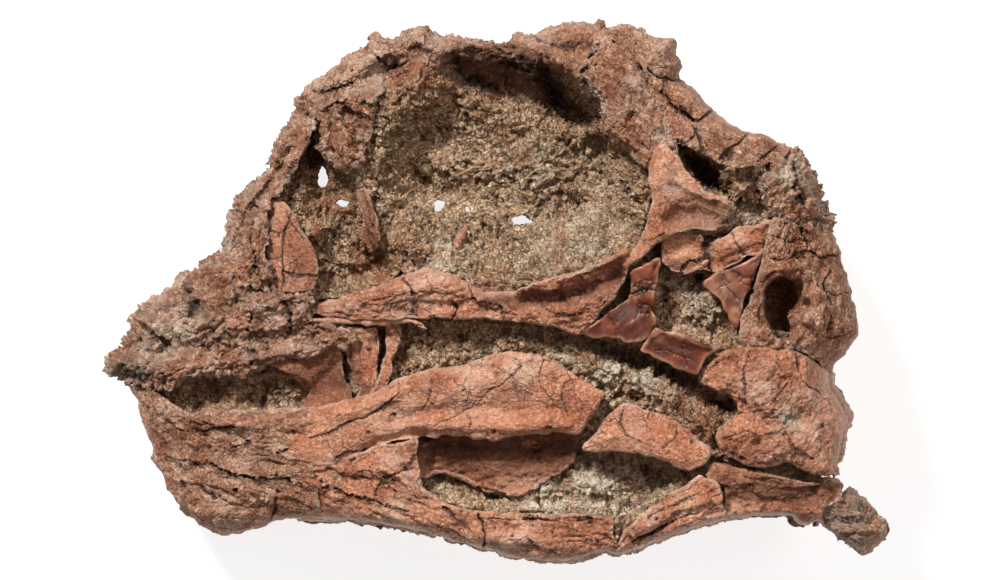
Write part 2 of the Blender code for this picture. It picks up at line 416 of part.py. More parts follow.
OUTLINES = {
    "premaxilla": [
        (-20.2, -3.8), (-18.6, -0.8), (-16.6, 1.2), (-14.6, 2.0), (-13.7, 0.4), (-13.3, -1.5),
        (-13.6, -3.0), (-14.3, -4.1), (-15.4, -4.6), (-16.2, -5.0), (-17.0, -4.8), (-18.0, -4.7),
        (-19.0, -4.9),
    ],
    "nasal": [
        (-14.9, 1.8), (-13.9, 3.4), (-13.3, 5.2), (-11.8, 7.4), (-10.6, 9.4), (-9.4, 8.9),
        (-8.9, 8.4), (-9.5, 6.8), (-10.4, 5.4), (-11.4, 4.6), (-12.3, 4.0), (-12.8, 2.2),
        (-13.4, 0.9),
    ],
    "frontal": [
        (-10.4, 9.5), (-9.0, 11.4), (-6.5, 13.2), (-3.4, 14.2), (0.0, 13.4), (4.0, 14.2),
        (7.3, 13.9), (7.1, 12.3), (5.2, 12.3), (4.4, 11.4), (4.2, 10.5), (4.9, 9.4), (4.6, 8.6),
        (3.0, 8.7), (0.6, 9.2), (-1.5, 9.4), (-3.2, 9.9), (-4.8, 10.2), (-6.0, 9.6),
        (-7.4, 9.6), (-8.8, 9.0),
    ],
    "parietal": [
        (7.3, 13.6), (9.4, 13.2), (10.2, 10.6), (13.0, 8.6), (15.0, 7.9), (14.3, 6.6),
        (13.2, 6.0), (12.2, 5.8), (11.2, 6.4), (10.0, 7.0), (9.2, 7.4), (8.6, 8.2), (8.1, 9.2),
        (7.7, 10.2), (7.3, 11.2),
    ],
    "supraoccipital": [
        (14.4, 8.0), (16.4, 7.6), (17.4, 4.2), (17.4, 2.9), (15.6, 3.2), (14.2, 3.6),
        (13.7, 4.6), (13.9, 5.6), (14.3, 6.6),
    ],
    "braincase": [
        (14.0, 3.5), (15.6, 3.2), (17.4, 2.9), (18.4, 0.0), (18.8, -2.1), (17.2, -4.0),
        (16.3, -3.4), (15.2, -3.0), (14.0, -3.0), (12.9, -2.8), (12.3, -2.2), (12.6, -1.0),
        (13.0, 0.2), (13.4, 1.4), (13.7, 2.4),
    ],
    "dentary": [
        (-18.8, -5.0), (-17.2, -5.2), (-16.2, -5.9), (-15.2, -6.3), (-13.6, -6.0), (-11.6, -6.1),
        (-9.8, -6.1), (-8.9, -6.6), (-9.3, -8.0), (-8.6, -9.2), (-8.6, -10.6), (-8.9, -12.2),
        (-11.0, -12.4), (-13.6, -13.0), (-16.0, -12.0), (-17.6, -10.0), (-18.2, -7.6),
    ],
    "maxilla": [
        (-13.4, 0.3), (-12.4, 0.4), (-11.2, -0.2), (-9.8, -0.3), (-9.3, -0.9), (-9.3, -1.5),
        (-8.2, -1.9), (-7.0, -2.0), (-7.6, -2.7), (-9.0, -3.3), (-10.6, -3.8), (-12.0, -4.2),
        (-14.2, -4.1), (-13.4, -2.8), (-13.1, -1.3),
    ],
    "maxilla_ramus": [
        (-12.3, 4.0), (-11.0, 4.1), (-10.0, 3.7), (-9.3, 2.7), (-8.8, 1.8), (-8.7, 0.0),
        (-9.9, -0.2), (-11.2, -0.1), (-12.3, 0.5), (-12.9, 1.6), (-12.8, 2.8),
    ],
    "lacrimal": [
        (-9.4, 8.9), (-8.8, 9.0), (-7.4, 9.6), (-6.1, 9.6), (-6.0, 8.4), (-6.5, 7.0),
        (-7.0, 6.0), (-7.9, 6.3), (-8.4, 7.2), (-8.8, 8.2),
    ],
    "postorbital": [
        (5.2, 12.3), (7.1, 12.3), (7.3, 10.9), (7.6, 9.9), (8.0, 8.9), (8.6, 8.0), (9.1, 7.2),
        (9.4, 6.3), (10.1, 5.4), (10.9, 4.9), (11.8, 4.7), (11.8, 4.0), (11.2, 3.2),
        (10.6, 3.3), (9.6, 3.8), (8.9, 3.4), (8.3, 2.8), (7.5, 1.8), (6.7, 1.3), (6.6, 1.9),
        (7.2, 2.8), (7.6, 4.4), (7.5, 6.0), (7.4, 6.9), (6.4, 7.8), (5.4, 8.9), (4.9, 9.6),
        (4.3, 10.6), (4.5, 11.5),
    ],
    "squamosal": [
        (8.6, 2.5), (9.6, 2.6), (10.4, 2.4), (11.3, 2.9), (12.4, 3.2), (13.8, 3.4),
        (13.7, 2.4), (13.3, 1.9), (12.4, 1.4), (11.3, 1.0), (10.3, 1.0), (9.3, 0.9),
        (8.5, 1.3),
    ],
    "quadrate_wing": [
        (10.5, 0.5), (11.4, 0.8), (12.4, 1.2), (13.2, 1.6), (13.0, 0.4), (12.6, -0.8),
        (12.2, -2.0), (11.6, -1.8), (11.1, -0.7),
    ],
    "jugal": [
        (-9.1, -0.5), (-7.5, -0.3), (-6.2, 0.2), (-5.0, 1.0), (-3.8, 1.2), (-2.4, 0.8),
        (-0.8, 0.3), (1.4, 0.4), (3.4, 0.8), (5.2, 1.5), (6.4, 2.0), (6.6, 1.4), (5.9, 0.6),
        (5.0, -0.4), (4.6, -1.3), (4.2, -2.0), (2.4, -1.85), (0.0, -1.6), (-2.4, -1.3),
        (-5.0, -1.4), (-7.4, -1.2), (-9.0, -1.1),
    ],
    "quadratojugal": [
        (7.0, 1.0), (8.1, 1.4), (8.0, 0.2), (7.8, -1.0), (7.8, -2.1), (7.2, -2.5), (6.0, -2.5),
        (4.5, -2.2), (5.0, -1.5), (5.9, -0.8), (6.6, 0.0),
    ],
    "quadratojugal_rear": [
        (7.6, -2.8), (8.2, -2.1), (9.2, -2.4), (10.9, -2.8), (10.4, -3.5), (10.0, -4.2),
        (9.0, -3.9), (7.8, -3.4), (6.6, -3.0),
    ],
    "quadrate": [
        (11.6, -3.4), (12.8, -2.9), (14.0, -3.0), (15.2, -3.0), (16.3, -3.4), (17.6, -4.0),
        (18.2, -6.6), (17.9, -8.8), (16.9, -9.2), (16.0, -9.4), (14.9, -8.95), (13.4, -9.0),
        (12.0, -8.75), (11.2, -8.2), (10.9, -7.5), (11.1, -6.8), (12.0, -6.2), (11.5, -5.2),
        (10.3, -4.9), (10.6, -3.9),
    ],
    "surangular": [
        (-8.9, -6.6), (-8.6, -5.8), (-6.6, -5.1), (-4.6, -4.3), (-2.0, -3.85), (0.0, -3.1),
        (2.4, -3.3), (4.0, -4.2), (5.5, -5.1), (5.0, -6.0), (4.2, -7.2), (2.0, -7.2),
        (0.2, -7.5), (-2.0, -7.25), (-4.0, -7.5), (-6.0, -8.1), (-8.4, -9.1), (-9.3, -8.0),
    ],
    "surangular_rear": [
        (4.4, -8.0), (5.0, -7.2), (5.7, -6.3), (6.5, -5.75), (8.0, -6.0), (9.5, -6.8),
        (10.6, -8.0), (10.3, -8.8), (9.2, -9.1), (8.6, -8.6), (7.6, -8.2), (6.0, -8.05),
    ],
    "angular": [
        (-8.6, -9.2), (-6.0, -8.3), (-4.2, -7.6), (-3.7, -8.2), (-3.8, -9.4), (-2.9, -10.6),
        (-1.0, -11.0), (3.0, -11.1), (5.6, -11.1), (6.1, -11.9), (6.2, -13.8), (2.0, -14.2),
        (-3.0, -13.2), (-8.7, -12.2), (-8.6, -10.6),
    ],
    "prearticular": [
        (6.3, -12.0), (7.6, -11.1), (9.0, -10.2), (9.7, -9.3), (10.6, -9.1), (11.3, -10.0),
        (11.4, -12.2), (6.4, -13.9),
    ],
    "articular": [
        (10.7, -9.0), (11.3, -8.5), (12.4, -9.0), (14.8, -9.1), (15.8, -9.55), (16.9, -9.4),
        (17.3, -10.2), (16.4, -11.0), (16.2, -12.2), (11.5, -12.2), (11.4, -10.2),
    ],
    "splenial": [
        (-3.2, -8.0), (-1.6, -7.7), (2.4, -7.6), (3.6, -8.4), (3.0, -9.7), (1.6, -10.3),
        (-0.4, -10.1), (-2.2, -9.3),
    ],
    "ectopterygoid": [
        (-10.3, -4.3), (-8.6, -3.5), (-7.9, -3.2), (-7.2, -4.2), (-7.0, -5.0), (-8.4, -5.4),
        (-9.3, -5.0),
    ],
    "pterygoid": [
        (-7.8, -3.1), (-7.0, -2.3), (-6.0, -2.2), (-5.9, -3.6), (-6.4, -4.6), (-7.0, -4.2),
    ],
    "palatine": [
        (-5.5, -2.2), (-4.4, -2.2), (-4.5, -3.2), (-5.0, -4.1), (-5.9, -4.7), (-5.7, -3.7),
    ],
    "lacrimal_bar": [
        (-7.0, 4.9), (-6.4, 4.9), (-6.0, 4.0), (-5.8, 2.7), (-5.9, 2.0), (-6.5, 2.3),
        (-6.8, 3.6),
    ],
    "rear_block": [
        (16.6, -11.1), (17.4, -10.4), (17.6, -9.6), (19.2, -10.4), (20.4, -11.6), (18.6, -14.0),
        (16.8, -12.6),
    ],
    "sandstone_head": [
        (-12.6, 0.8), (-12.0, 3.8), (-10.3, 5.6), (-9.2, 8.2), (-8.4, 8.8), (-6.4, 9.4),
        (-5.0, 9.9), (-2.0, 9.2), (1.5, 8.9), (4.8, 8.4), (5.4, 9.0), (7.4, 9.8), (8.6, 7.8),
        (10.6, 6.5), (12.4, 5.6), (13.6, 5.0), (13.6, 3.4), (12.9, 1.0), (12.2, -1.6),
        (11.4, -3.2), (11.3, -5.0), (11.1, -6.6), (9.6, -6.9), (7.0, -6.7), (5.0, -6.2),
        (2.8, -5.2), (0.4, -4.7), (-2.0, -5.2), (-5.4, -6.0), (-8.4, -6.6), (-15.2, -6.4),
        (-16.2, -5.2), (-14.4, -4.0), (-13.2, -3.0), (-13.2, -1.0),
    ],
    "sandstone_jaw": [
        (-8.4, -7.0), (-5.4, -6.4), (-2.0, -5.6), (0.4, -5.1), (2.6, -5.6), (4.8, -6.6),
        (7.0, -7.1), (9.8, -7.3), (10.8, -8.0), (11.2, -8.8), (14.8, -9.4), (15.8, -10.0),
        (15.4, -10.8), (12.0, -10.8), (9.6, -11.2), (7.0, -12.0), (4.0, -12.5), (1.0, -12.4),
        (-2.0, -11.8), (-5.0, -11.1), (-8.4, -10.9),
    ],
    "skull_base": [
        (11.9, -3.8), (13.0, -3.5), (15.6, -3.6), (16.4, -4.4), (16.6, -6.4), (16.4, -8.2),
        (15.0, -8.5), (12.4, -8.3), (11.6, -7.4), (11.8, -5.4),
    ],
}

EAR_HOLE = ([
    (14.3, 1.0), (15.0, 0.9), (15.7, 0.3), (15.9, -0.6), (15.6, -1.6), (14.8, -2.5),
    (14.1, -2.0), (13.6, -1.0), (13.7, 0.2),
], 3.0, 1.1)

for old in list(bpy.data.objects):
    bpy.data.objects.remove(old)
fossil = collection("dinosaur skull fossil")
cutters = collection("cutters")


def build_through_bones():
    """Roof, beak, chin and braincase, which join the two sides of the head."""
    through("premaxilla", OUTLINES["premaxilla"], 0.0, 420, 0.5, 0.9)
    through("nasal", OUTLINES["nasal"], 0.0, 320, 0.4, 0.8, ("premaxilla",))
    through("frontal", OUTLINES["frontal"], 0.0, 800, 0.3, 0.6)
    through("parietal", OUTLINES["parietal"], -0.4, 420, 0.4, 0.8, ("frontal",))
    through("supraoccipital", OUTLINES["supraoccipital"], -0.3, 260, 0.4, 0.8, ("parietal",))
    through("braincase", OUTLINES["braincase"], -0.3, 640, 0.4, 0.8, ("supraoccipital",), [EAR_HOLE])
    through("dentary", OUTLINES["dentary"], 0.0, 520, 0.5, 1.0)


PAIRED = [
    # name, lift, drop, radius, triangles, trimmed by
    ("maxilla", -0.1, 0.5, 0.9, 200, ("premaxilla",)),
    ("maxilla_ramus", -0.5, 0.3, 0.6, 120, ("nasal", "maxilla")),
    ("lacrimal", -0.4, 0.5, 0.8, 110, ("nasal", "frontal")),
    ("postorbital", 0.2, 0.7, 0.9, 300, ("frontal", "parietal")),
    ("squamosal", 0.0, 0.6, 0.7, 140, ("braincase", "postorbital")),
    ("jugal", 0.2, 0.8, 0.8, 300, ("maxilla", "maxilla_ramus")),
    ("quadratojugal", -0.1, 0.5, 0.7, 130, ("jugal",)),
    ("quadrate", 0.4, 1.6, 2.4, 260, ("braincase",)),
    ("surangular", 0.1, 1.0, 1.6, 320, ("dentary",)),
    ("surangular_rear", 0.0, 0.9, 1.1, 140, ("surangular",)),
    ("angular", 0.0, 0.5, 0.9, 300, ("dentary", "surangular")),
    ("prearticular", -0.1, 0.5, 0.9, 120, ("surangular_rear",)),
    ("articular", -0.6, 0.5, 0.8, 140, ("prearticular", "quadrate", "surangular_rear")),
]


LEFT_ONLY = ("quadratojugal_rear", "quadrate_wing", "splenial", "ectopterygoid", "pterygoid",
             "palatine", "lacrimal_bar", "rear_block")


def build_paired_bones():
    """Bones of the left side, and their mirrors on the right side, which rest on the floor."""
    for name, lift, drop, radius, triangles, cuts in PAIRED:
        plate(name + "_left", OUTLINES[name], lift, drop, radius, triangles, 1, cuts)
        plate(name + "_right", OUTLINES[name], lift, drop, radius, triangles * 3 // 5, -1, cuts)


def build_left_bones():
    """Broken and inner bones that show only on the left side."""
    plate("quadratojugal_rear", OUTLINES["quadratojugal_rear"], 0.0, 0.5, 0.6, 100, 1,
          ("quadratojugal", "quadrate"))
    plate("quadrate_wing", OUTLINES["quadrate_wing"], -0.5, 0.4, 0.5, 90, 1,
          ("squamosal", "braincase"))
    deep_plate("splenial", OUTLINES["splenial"], 0.9, 1, 110)
    deep_plate("ectopterygoid", OUTLINES["ectopterygoid"], 0.8, 1, 80, ("maxilla",))
    deep_plate("pterygoid", OUTLINES["pterygoid"], 0.8, 1, 70, ("maxilla", "ectopterygoid", "jugal"))
    deep_plate("palatine", OUTLINES["palatine"], 0.9, 1, 70, ("jugal",))
    deep_plate("lacrimal_bar", OUTLINES["lacrimal_bar"], 0.9, 1, 70)


def build_rear_block():
    """Loose lump of bone and sandstone at the back end of the left jaw."""
    def faces(x, y, rim):
        outer = half_thickness(x, y) - 0.8 - 0.9 * (1 - quarter_round(rim / 1.0))
        return middle(x) + 0.2, middle(x) + np.maximum(outer, 1.0)
    slab("rear_block", OUTLINES["rear_block"], 3.4, faces, WEATHERED_BONE, 140, ("articular", "quadrate"),
         0.4)


def build_sandstone():
    """Rock between the two sides, and the pinholes through it."""
    turn = np.linspace(0, 2 * np.pi, 12, endpoint=False)
    rings = [np.stack([cx + rx * np.cos(turn), cy + ry * np.sin(turn)], 1)
             for cx, cy, rx, ry in PINHOLES]
    solid_bones = ("premaxilla", "nasal", "frontal", "parietal", "supraoccipital", "braincase",
                   "dentary")
    core("sandstone_jaw", OUTLINES["sandstone_jaw"], 1400, ("dentary",))
    core("sandstone_head", OUTLINES["sandstone_head"], 4200, (*solid_bones, "sandstone_jaw"), rings)
    core("skull_base", OUTLINES["skull_base"], 200, ("braincase", "sandstone_jaw", "sandstone_head"))


def set_origin():
    """Moves the whole fossil so that the origin is at the middle of its box, on the floor."""
    graph = bpy.context.evaluated_depsgraph_get()
    corners = []
    for piece in fossil.objects:
        final = bpy.data.meshes.new_from_object(piece.evaluated_get(graph))
        piece.modifiers.clear()
        piece.data = final
        place = np.array([v.co for v in final.vertices])
        corners += [place.min(0), place.max(0)]
    low, high = np.min(corners, 0), np.max(corners, 0)
    shift = Matrix.Translation((-(low[0] + high[0]) / 2, -(low[1] + high[1]) / 2, -low[2]))
    for piece in fossil.objects:
        piece.data.transform(shift)


build_through_bones()
build_paired_bones()
build_left_bones()
build_rear_block()
build_sandstone()
bpy.context.view_layer.update()
set_origin()
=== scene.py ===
"""Skull of a young toothless dinosaur in sandstone, lying on its right side on a pale table.

All shapes are worked out in millimetres: X from the beak to the back of the head, Y from the chin to
the skull roof, Z up from the table to the left side of the head.
"""

from itertools import product

import bpy
import numpy as np
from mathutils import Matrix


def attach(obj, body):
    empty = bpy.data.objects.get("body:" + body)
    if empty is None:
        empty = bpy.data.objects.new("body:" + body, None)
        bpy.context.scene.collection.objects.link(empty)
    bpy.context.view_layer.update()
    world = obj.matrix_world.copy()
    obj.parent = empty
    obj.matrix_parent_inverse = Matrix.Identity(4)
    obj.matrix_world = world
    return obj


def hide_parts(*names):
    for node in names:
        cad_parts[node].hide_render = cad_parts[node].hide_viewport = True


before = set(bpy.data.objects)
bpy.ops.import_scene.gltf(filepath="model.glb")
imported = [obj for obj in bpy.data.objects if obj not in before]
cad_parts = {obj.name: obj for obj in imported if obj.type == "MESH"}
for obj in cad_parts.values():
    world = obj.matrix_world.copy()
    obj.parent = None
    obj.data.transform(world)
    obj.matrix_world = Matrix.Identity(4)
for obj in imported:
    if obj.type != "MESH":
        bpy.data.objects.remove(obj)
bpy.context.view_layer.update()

# The sandstone inside the head.
# Fine desert sand, loosely cemented, that filled the head soon after death. Preparators dug it out
# with needles between the bones, so it is lowest in the eye socket and pitted all over.
MM = 0.001              # metres in the millimetres that all shapes are worked out in
MID_HEIGHT = 5.6        # middle plane of the head above the table, halfway along
MID_SLOPE = 0.1         # its rise towards the wide back of the head
BED = 1.3               # depth of the sandstone under the outer surface of the bones
SAND_FALL = 0.25        # mean level of the sand, below the bed that the bones lie in
SAND_THICK = 1.4        # thickness of one bed of sand
CORE_FALL = 0.3         # top of the block that fills the head, below the beds of sand
ROOF_EDGE, ROOF_ROUND = 0.3, 3.2    # share of the half width left at the edge, width of the round
JAW_EDGE, JAW_ROUND = 0.78, 1.2     # the same along the lower jaw
WIDTH_STATIONS = (-19.6, -17.0, -14.0, -10.0, -5.0, 0.0, 5.0, 10.0, 14.0, 18.0, 19.6)
HALF_WIDTHS = (2.0, 3.4, 4.2, 4.6, 5.1, 5.7, 6.3, 6.7, 6.6, 5.6, 4.4)
MAP_STEP = 0.1          # squares of the maps of thickness and of hollows
MAP_LOW = np.array([-21.0, -15.0])
MAP_SIZE = (421, 301)
HEAD_EDGE = [
    (-19.6, -3.8), (-19.4, -3.2), (-19.0, -3.0), (-18.6, -2.2), (-18.2, -1.3), (-17.7, -0.9),
    (-17.0, -0.3), (-16.3, 0.1), (-15.6, 1.0), (-15.0, 1.0), (-14.7, 1.45), (-14.0, 2.0),
    (-13.4, 3.1), (-13.0, 3.9), (-12.9, 4.6), (-12.5, 5.1), (-11.4, 6.1), (-11.5, 6.5),
    (-11.0, 7.6), (-10.6, 8.3), (-10.0, 9.0), (-9.7, 9.9), (-9.0, 10.5), (-8.1, 11.1),
    (-7.5, 11.6), (-7.1, 11.9), (-6.35, 12.4), (-5.85, 12.75), (-4.85, 12.75), (-4.35, 13.25),
    (-3.5, 13.4), (-3.0, 13.2), (-2.5, 12.9), (-1.6, 12.7), (-0.7, 12.6), (0.3, 12.5),
    (1.15, 12.9), (1.9, 13.0), (3.0, 13.15), (4.0, 13.45), (5.0, 13.35), (5.3, 13.5),
    (5.8, 13.2), (7.1, 13.1), (8.0, 12.75), (8.9, 12.55), (9.05, 11.8), (9.35, 11.3),
    (9.3, 10.6), (10.0, 10.1), (10.65, 9.25), (11.65, 8.5), (12.8, 7.85), (13.4, 7.9),
    (14.4, 7.25), (15.15, 7.1), (15.65, 6.4), (16.3, 5.4), (16.5, 4.4), (16.9, 3.9),
    (16.9, 3.0), (17.3, 2.0), (17.4, 1.25), (17.8, 0.25), (17.9, -0.5), (18.2, -2.1),
    (17.9, -2.6), (17.4, -3.3), (16.85, -4.0), (16.8, -4.7), (17.2, -5.4), (17.6, -6.2),
    (17.6, -6.9), (17.4, -7.5), (17.2, -8.2), (17.0, -8.9), (17.2, -9.5), (17.9, -10.0),
    (18.9, -10.9), (19.6, -11.6), (19.4, -12.4), (18.4, -13.2), (17.5, -12.6), (16.5, -11.8),
    (16.1, -11.5), (15.4, -11.7), (14.5, -11.2), (13.0, -11.25), (11.3, -11.5), (9.9, -11.9),
    (8.0, -12.5), (6.4, -13.15), (5.3, -13.1), (3.8, -13.45), (1.8, -13.5), (-0.2, -13.05),
    (-2.0, -12.6), (-3.7, -12.1), (-5.6, -11.75), (-7.5, -11.55), (-9.0, -11.5), (-11.0, -11.6),
    (-11.7, -11.9), (-12.7, -12.25), (-13.7, -12.4), (-14.6, -12.0), (-15.5, -11.4),
    (-16.2, -10.6), (-16.85, -9.25), (-17.3, -8.6), (-17.2, -8.0), (-17.7, -7.0),
    (-18.2, -5.25), (-18.8, -4.5), (-19.3, -4.2),
]
# Hollows that the needles left: rim, depth below the bed, width of the sloping wall
HOLLOWS = [
    ([(-6.2, 5.6), (-6.0, 7.4), (-5.6, 8.8), (-4.8, 10.2), (-3.2, 11.4), (-1.0, 12.0),
      (1.0, 12.1), (2.6, 11.7), (4.0, 10.7), (5.0, 9.6), (6.2, 8.4), (7.2, 7.2), (7.6, 6.0),
      (7.7, 4.5), (7.3, 2.9), (6.3, 1.8), (4.6, 1.2), (2.4, 0.5), (0.0, 0.3), (-2.0, 1.0),
      (-3.6, 1.9), (-5.0, 3.1), (-5.9, 4.2)], 2.4, 2.8),
    ([(-2.6, 12.2), (-0.6, 12.35), (0.3, 12.35), (1.5, 12.05), (2.8, 11.5), (3.6, 10.95),
      (4.4, 10.1), (5.15, 9.3), (5.5, 8.6), (5.4, 7.4), (4.4, 6.6), (2.8, 6.6), (1.0, 7.2),
      (-1.0, 8.2), (-2.6, 9.4), (-3.2, 10.8)], 3.3, 2.1),
    ([(2.2, 11.75), (2.8, 11.5), (3.6, 10.95), (4.4, 10.1), (5.15, 9.3), (5.45, 8.7), (5.2, 7.9),
      (4.2, 7.5), (3.0, 8.2), (2.2, 9.4), (1.8, 10.6)], 4.4, 0.9),
    ([(-9.6, 5.8), (-8.9, 8.4), (-8.0, 6.8), (-6.9, 5.2), (-6.2, 3.2), (-5.2, 1.4), (-6.2, 0.3),
      (-8.7, 0.0), (-9.0, 2.2), (-9.6, 3.6)], 1.2, 0.8),
    ([(9.3, 6.9), (10.2, 6.9), (11.3, 6.1), (11.8, 5.0), (11.2, 4.7), (10.3, 5.1),
      (9.6, 5.9)], 3.2, 0.5),
    ([(-5.9, -1.9), (-3.0, -1.5), (2.0, -1.8), (5.0, -2.3), (8.0, -3.2), (10.0, -4.2),
      (9.8, -5.0), (7.6, -4.0), (5.6, -3.6), (3.0, -2.8), (0.0, -2.6), (-3.0, -3.5),
      (-6.4, -4.6), (-8.6, -5.6), (-9.4, -4.6), (-7.4, -2.6)], 0.45, 0.6),
    ([(-15.9, -5.0), (-14.4, -4.1), (-12.0, -4.3), (-9.8, -4.2), (-8.6, -5.5), (-10.5, -6.1),
      (-13.4, -6.0), (-15.2, -6.2)], 0.9, 0.5),
    ([(-3.8, -8.0), (-2.4, -7.3), (1.5, -7.3), (4.2, -7.3), (6.5, -8.0), (8.4, -8.5),
      (9.2, -9.3), (8.4, -10.2), (6.8, -11.0), (3.0, -11.1), (-0.5, -11.0), (-2.8, -10.5),
      (-3.7, -9.4)], 0.9, 0.7),
    ([(8.1, 0.9), (9.4, 0.9), (10.4, 0.3), (11.1, -0.8), (11.9, -1.6), (11.2, -2.8), (8.9, -2.1),
      (7.9, -1.3)], 0.5, 0.6),
]


def smooth_line(points, closed=True, spans=5):
    """Catmull-Rom curve through the points. Each stretch has spans points at equal steps of t, and
    each point is the cubic blend of the four corners around its stretch."""
    p = np.array(points, float)
    if not closed:
        p = np.vstack([2 * p[0] - p[1], p, 2 * p[-1] - p[-2]])
    a, b, c, d = p, np.roll(p, -1, 0), np.roll(p, -2, 0), np.roll(p, -3, 0)
    t = (np.arange(spans) / spans)[:, None, None]
    curve = 0.5 * (2 * b + (c - a) * t + (2 * a - 5 * b + 4 * c - d) * t**2
                   + (3 * b - a - 3 * c + d) * t**3)
    curve = curve.transpose(1, 0, 2)
    if closed:
        return curve.reshape(-1, 2)
    return np.vstack([curve[: len(p) - 3].reshape(-1, 2), p[-2]])


def near_line(x, y, line, closed):
    """Distance from each point to a line, the smallest over its straight pieces, with the nearest
    point on it."""
    ends = np.roll(line, -1, 0) if closed else line[1:]
    near = np.full(x.shape, 1e9)
    foot = np.zeros((len(x), 2))
    for (x0, y0), (x1, y1) in zip(line, ends):
        dx, dy = x1 - x0, y1 - y0
        t = np.clip(((x - x0) * dx + (y - y0) * dy) / (dx * dx + dy * dy + 1e-12), 0, 1)
        fx, fy = x0 + t * dx, y0 + t * dy
        d = np.hypot(x - fx, y - fy)
        closer = d < near
        near[closer] = d[closer]
        foot[closer] = np.stack([fx[closer], fy[closer]], 1)
    return near, foot


def within(x, y, rings):
    """True where a ray to the right crosses the rings an odd number of times."""
    inside = np.zeros(x.shape, bool)
    for ring in rings:
        for (x0, y0), (x1, y1) in zip(ring, np.roll(ring, -1, 0)):
            if y0 != y1:
                inside ^= ((y0 > y) != (y1 > y)) & (x < (y - y0) / (y1 - y0) * (x1 - x0) + x0)
    return inside


def smooth_step(low, high, value):
    """Smooth rise from 0 at low to 1 at high: 3 t squared less 2 t cubed."""
    t = np.clip((value - low) / (high - low), 0, 1)
    return t * t * (3 - 2 * t)


def quarter_round(t):
    """Profile of a rounded edge: a quarter circle from 0 at t = 0 to 1 at t = 1."""
    return np.sqrt(1 - (1 - np.clip(t, 0, 1)) ** 2)


def lattice(cell, seed):
    """Number from 0 to 1 for each whole-number cell, by mixing its three indices with the seed."""
    i, j, k = cell.astype(np.int64).T.astype(np.uint32)
    h = i * np.uint32(374761393) + j * np.uint32(668265263) + k * np.uint32(2246822519)
    h += np.uint32(seed * 2654435761 % 2**32)
    h ^= h >> np.uint32(15)
    h *= np.uint32(2246822519)
    h ^= h >> np.uint32(13)
    h *= np.uint32(3266489917)
    h ^= h >> np.uint32(16)
    return h / 2**32


# A turn in space that keeps the octaves of a noise from lining up
TURN = np.array([[0.36, 0.48, -0.8], [-0.8, 0.6, 0.0], [0.48, 0.64, 0.6]])


def waves(p, size, octaves, seed, gain=0.5):
    """Smooth noise about -1 to 1: lattice numbers blended between cells of size mm, with finer and
    weaker turned copies of itself added for each further octave."""
    total, strength, whole = 0.0, 1.0, 0.0
    q = p / size
    for octave in range(octaves):
        cell = np.floor(q)
        f = q - cell
        f = f * f * f * (f * (f * 6 - 15) + 10)
        blend = 0.0
        for corner in product((0, 1), repeat=3):
            weight = np.prod(np.where(corner, f, 1 - f), axis=1)
            blend = blend + weight * lattice(cell + corner, seed + 31 * octave)
        total = total + strength * (2 * blend - 1)
        whole += strength
        strength *= gain
        q = q @ TURN * 2.03 + 17.3
    return total / whole * 1.6


def cells(p, size, seed):
    """Distances, in cells, to the nearest and the second nearest of points strewn one to a cell,
    and a number from 0 to 1 that belongs to the nearest one."""
    q = p / size
    base = np.floor(q)
    near = np.full(len(p), 9.0)
    second = np.full(len(p), 9.0)
    own = np.zeros(len(p))
    for step in product((-1, 0, 1), repeat=3):
        cell = base + step
        site = cell + np.stack([lattice(cell, seed + k) for k in range(3)], 1)
        d = np.linalg.norm(q - site, axis=1)
        closer = d < near
        second = np.minimum(second, np.maximum(near, d))
        own[closer] = (site[closer, 0] - cell[closer, 0]) * 7.3 % 1
        near[closer] = d[closer]
    return near, second, own


def chips(points, size, seed, slant=0.0, stretch=0.0):
    """Surface of small angular chips, each at its own height from -0.5 to 0.5 and domed a little,
    and the depth from 0 to 1 of the crevices between them."""
    along = np.array([np.cos(slant), np.sin(slant), 0.0])
    drawn = points - stretch * (points @ along)[:, None] * along
    bend = np.stack([waves(drawn, 0.8 * size, 2, seed + k) for k in (1, 2, 3)], 1)
    bent = drawn + 0.3 * size * bend
    near, second, own = cells(bent, size, seed)
    gap = np.clip(1 - (second - near) * 4.5, 0, 1)
    return 0.75 * (own - 0.5) + 0.5 * (0.5 - near), gap


def draw_map():
    """Half thickness of the head on a square map. The half width of each station is rounded over
    to a share of itself at the head's edge, with a tighter round along the jaw."""
    gx = MAP_LOW[0] + MAP_STEP * np.arange(MAP_SIZE[0])
    gy = MAP_LOW[1] + MAP_STEP * np.arange(MAP_SIZE[1])
    x, y = (g.ravel() for g in np.meshgrid(gx, gy, indexing="ij"))
    edge = smooth_line(HEAD_EDGE, spans=3)
    inset = near_line(x, y, edge, True)[0] * within(x, y, [edge])
    jaw = smooth_step(-6.0, -9.0, y) * smooth_step(-10.0, -6.0, x)
    share = ROOF_EDGE + (JAW_EDGE - ROOF_EDGE) * jaw
    radius = ROOF_ROUND + (JAW_ROUND - ROOF_ROUND) * jaw
    half = np.interp(x, WIDTH_STATIONS, HALF_WIDTHS)
    half = half * (share + (1 - share) * quarter_round(inset / radius))
    deep = np.zeros(x.shape)
    for rim, depth, wall in HOLLOWS:
        rim = smooth_line(rim)
        into = near_line(x, y, rim, True)[0] * within(x, y, [rim])
        deep = np.maximum(deep, depth * smooth_step(0, wall, into))
    return half.reshape(MAP_SIZE), deep.reshape(MAP_SIZE)


HALF_MAP, HOLLOW_MAP = draw_map()


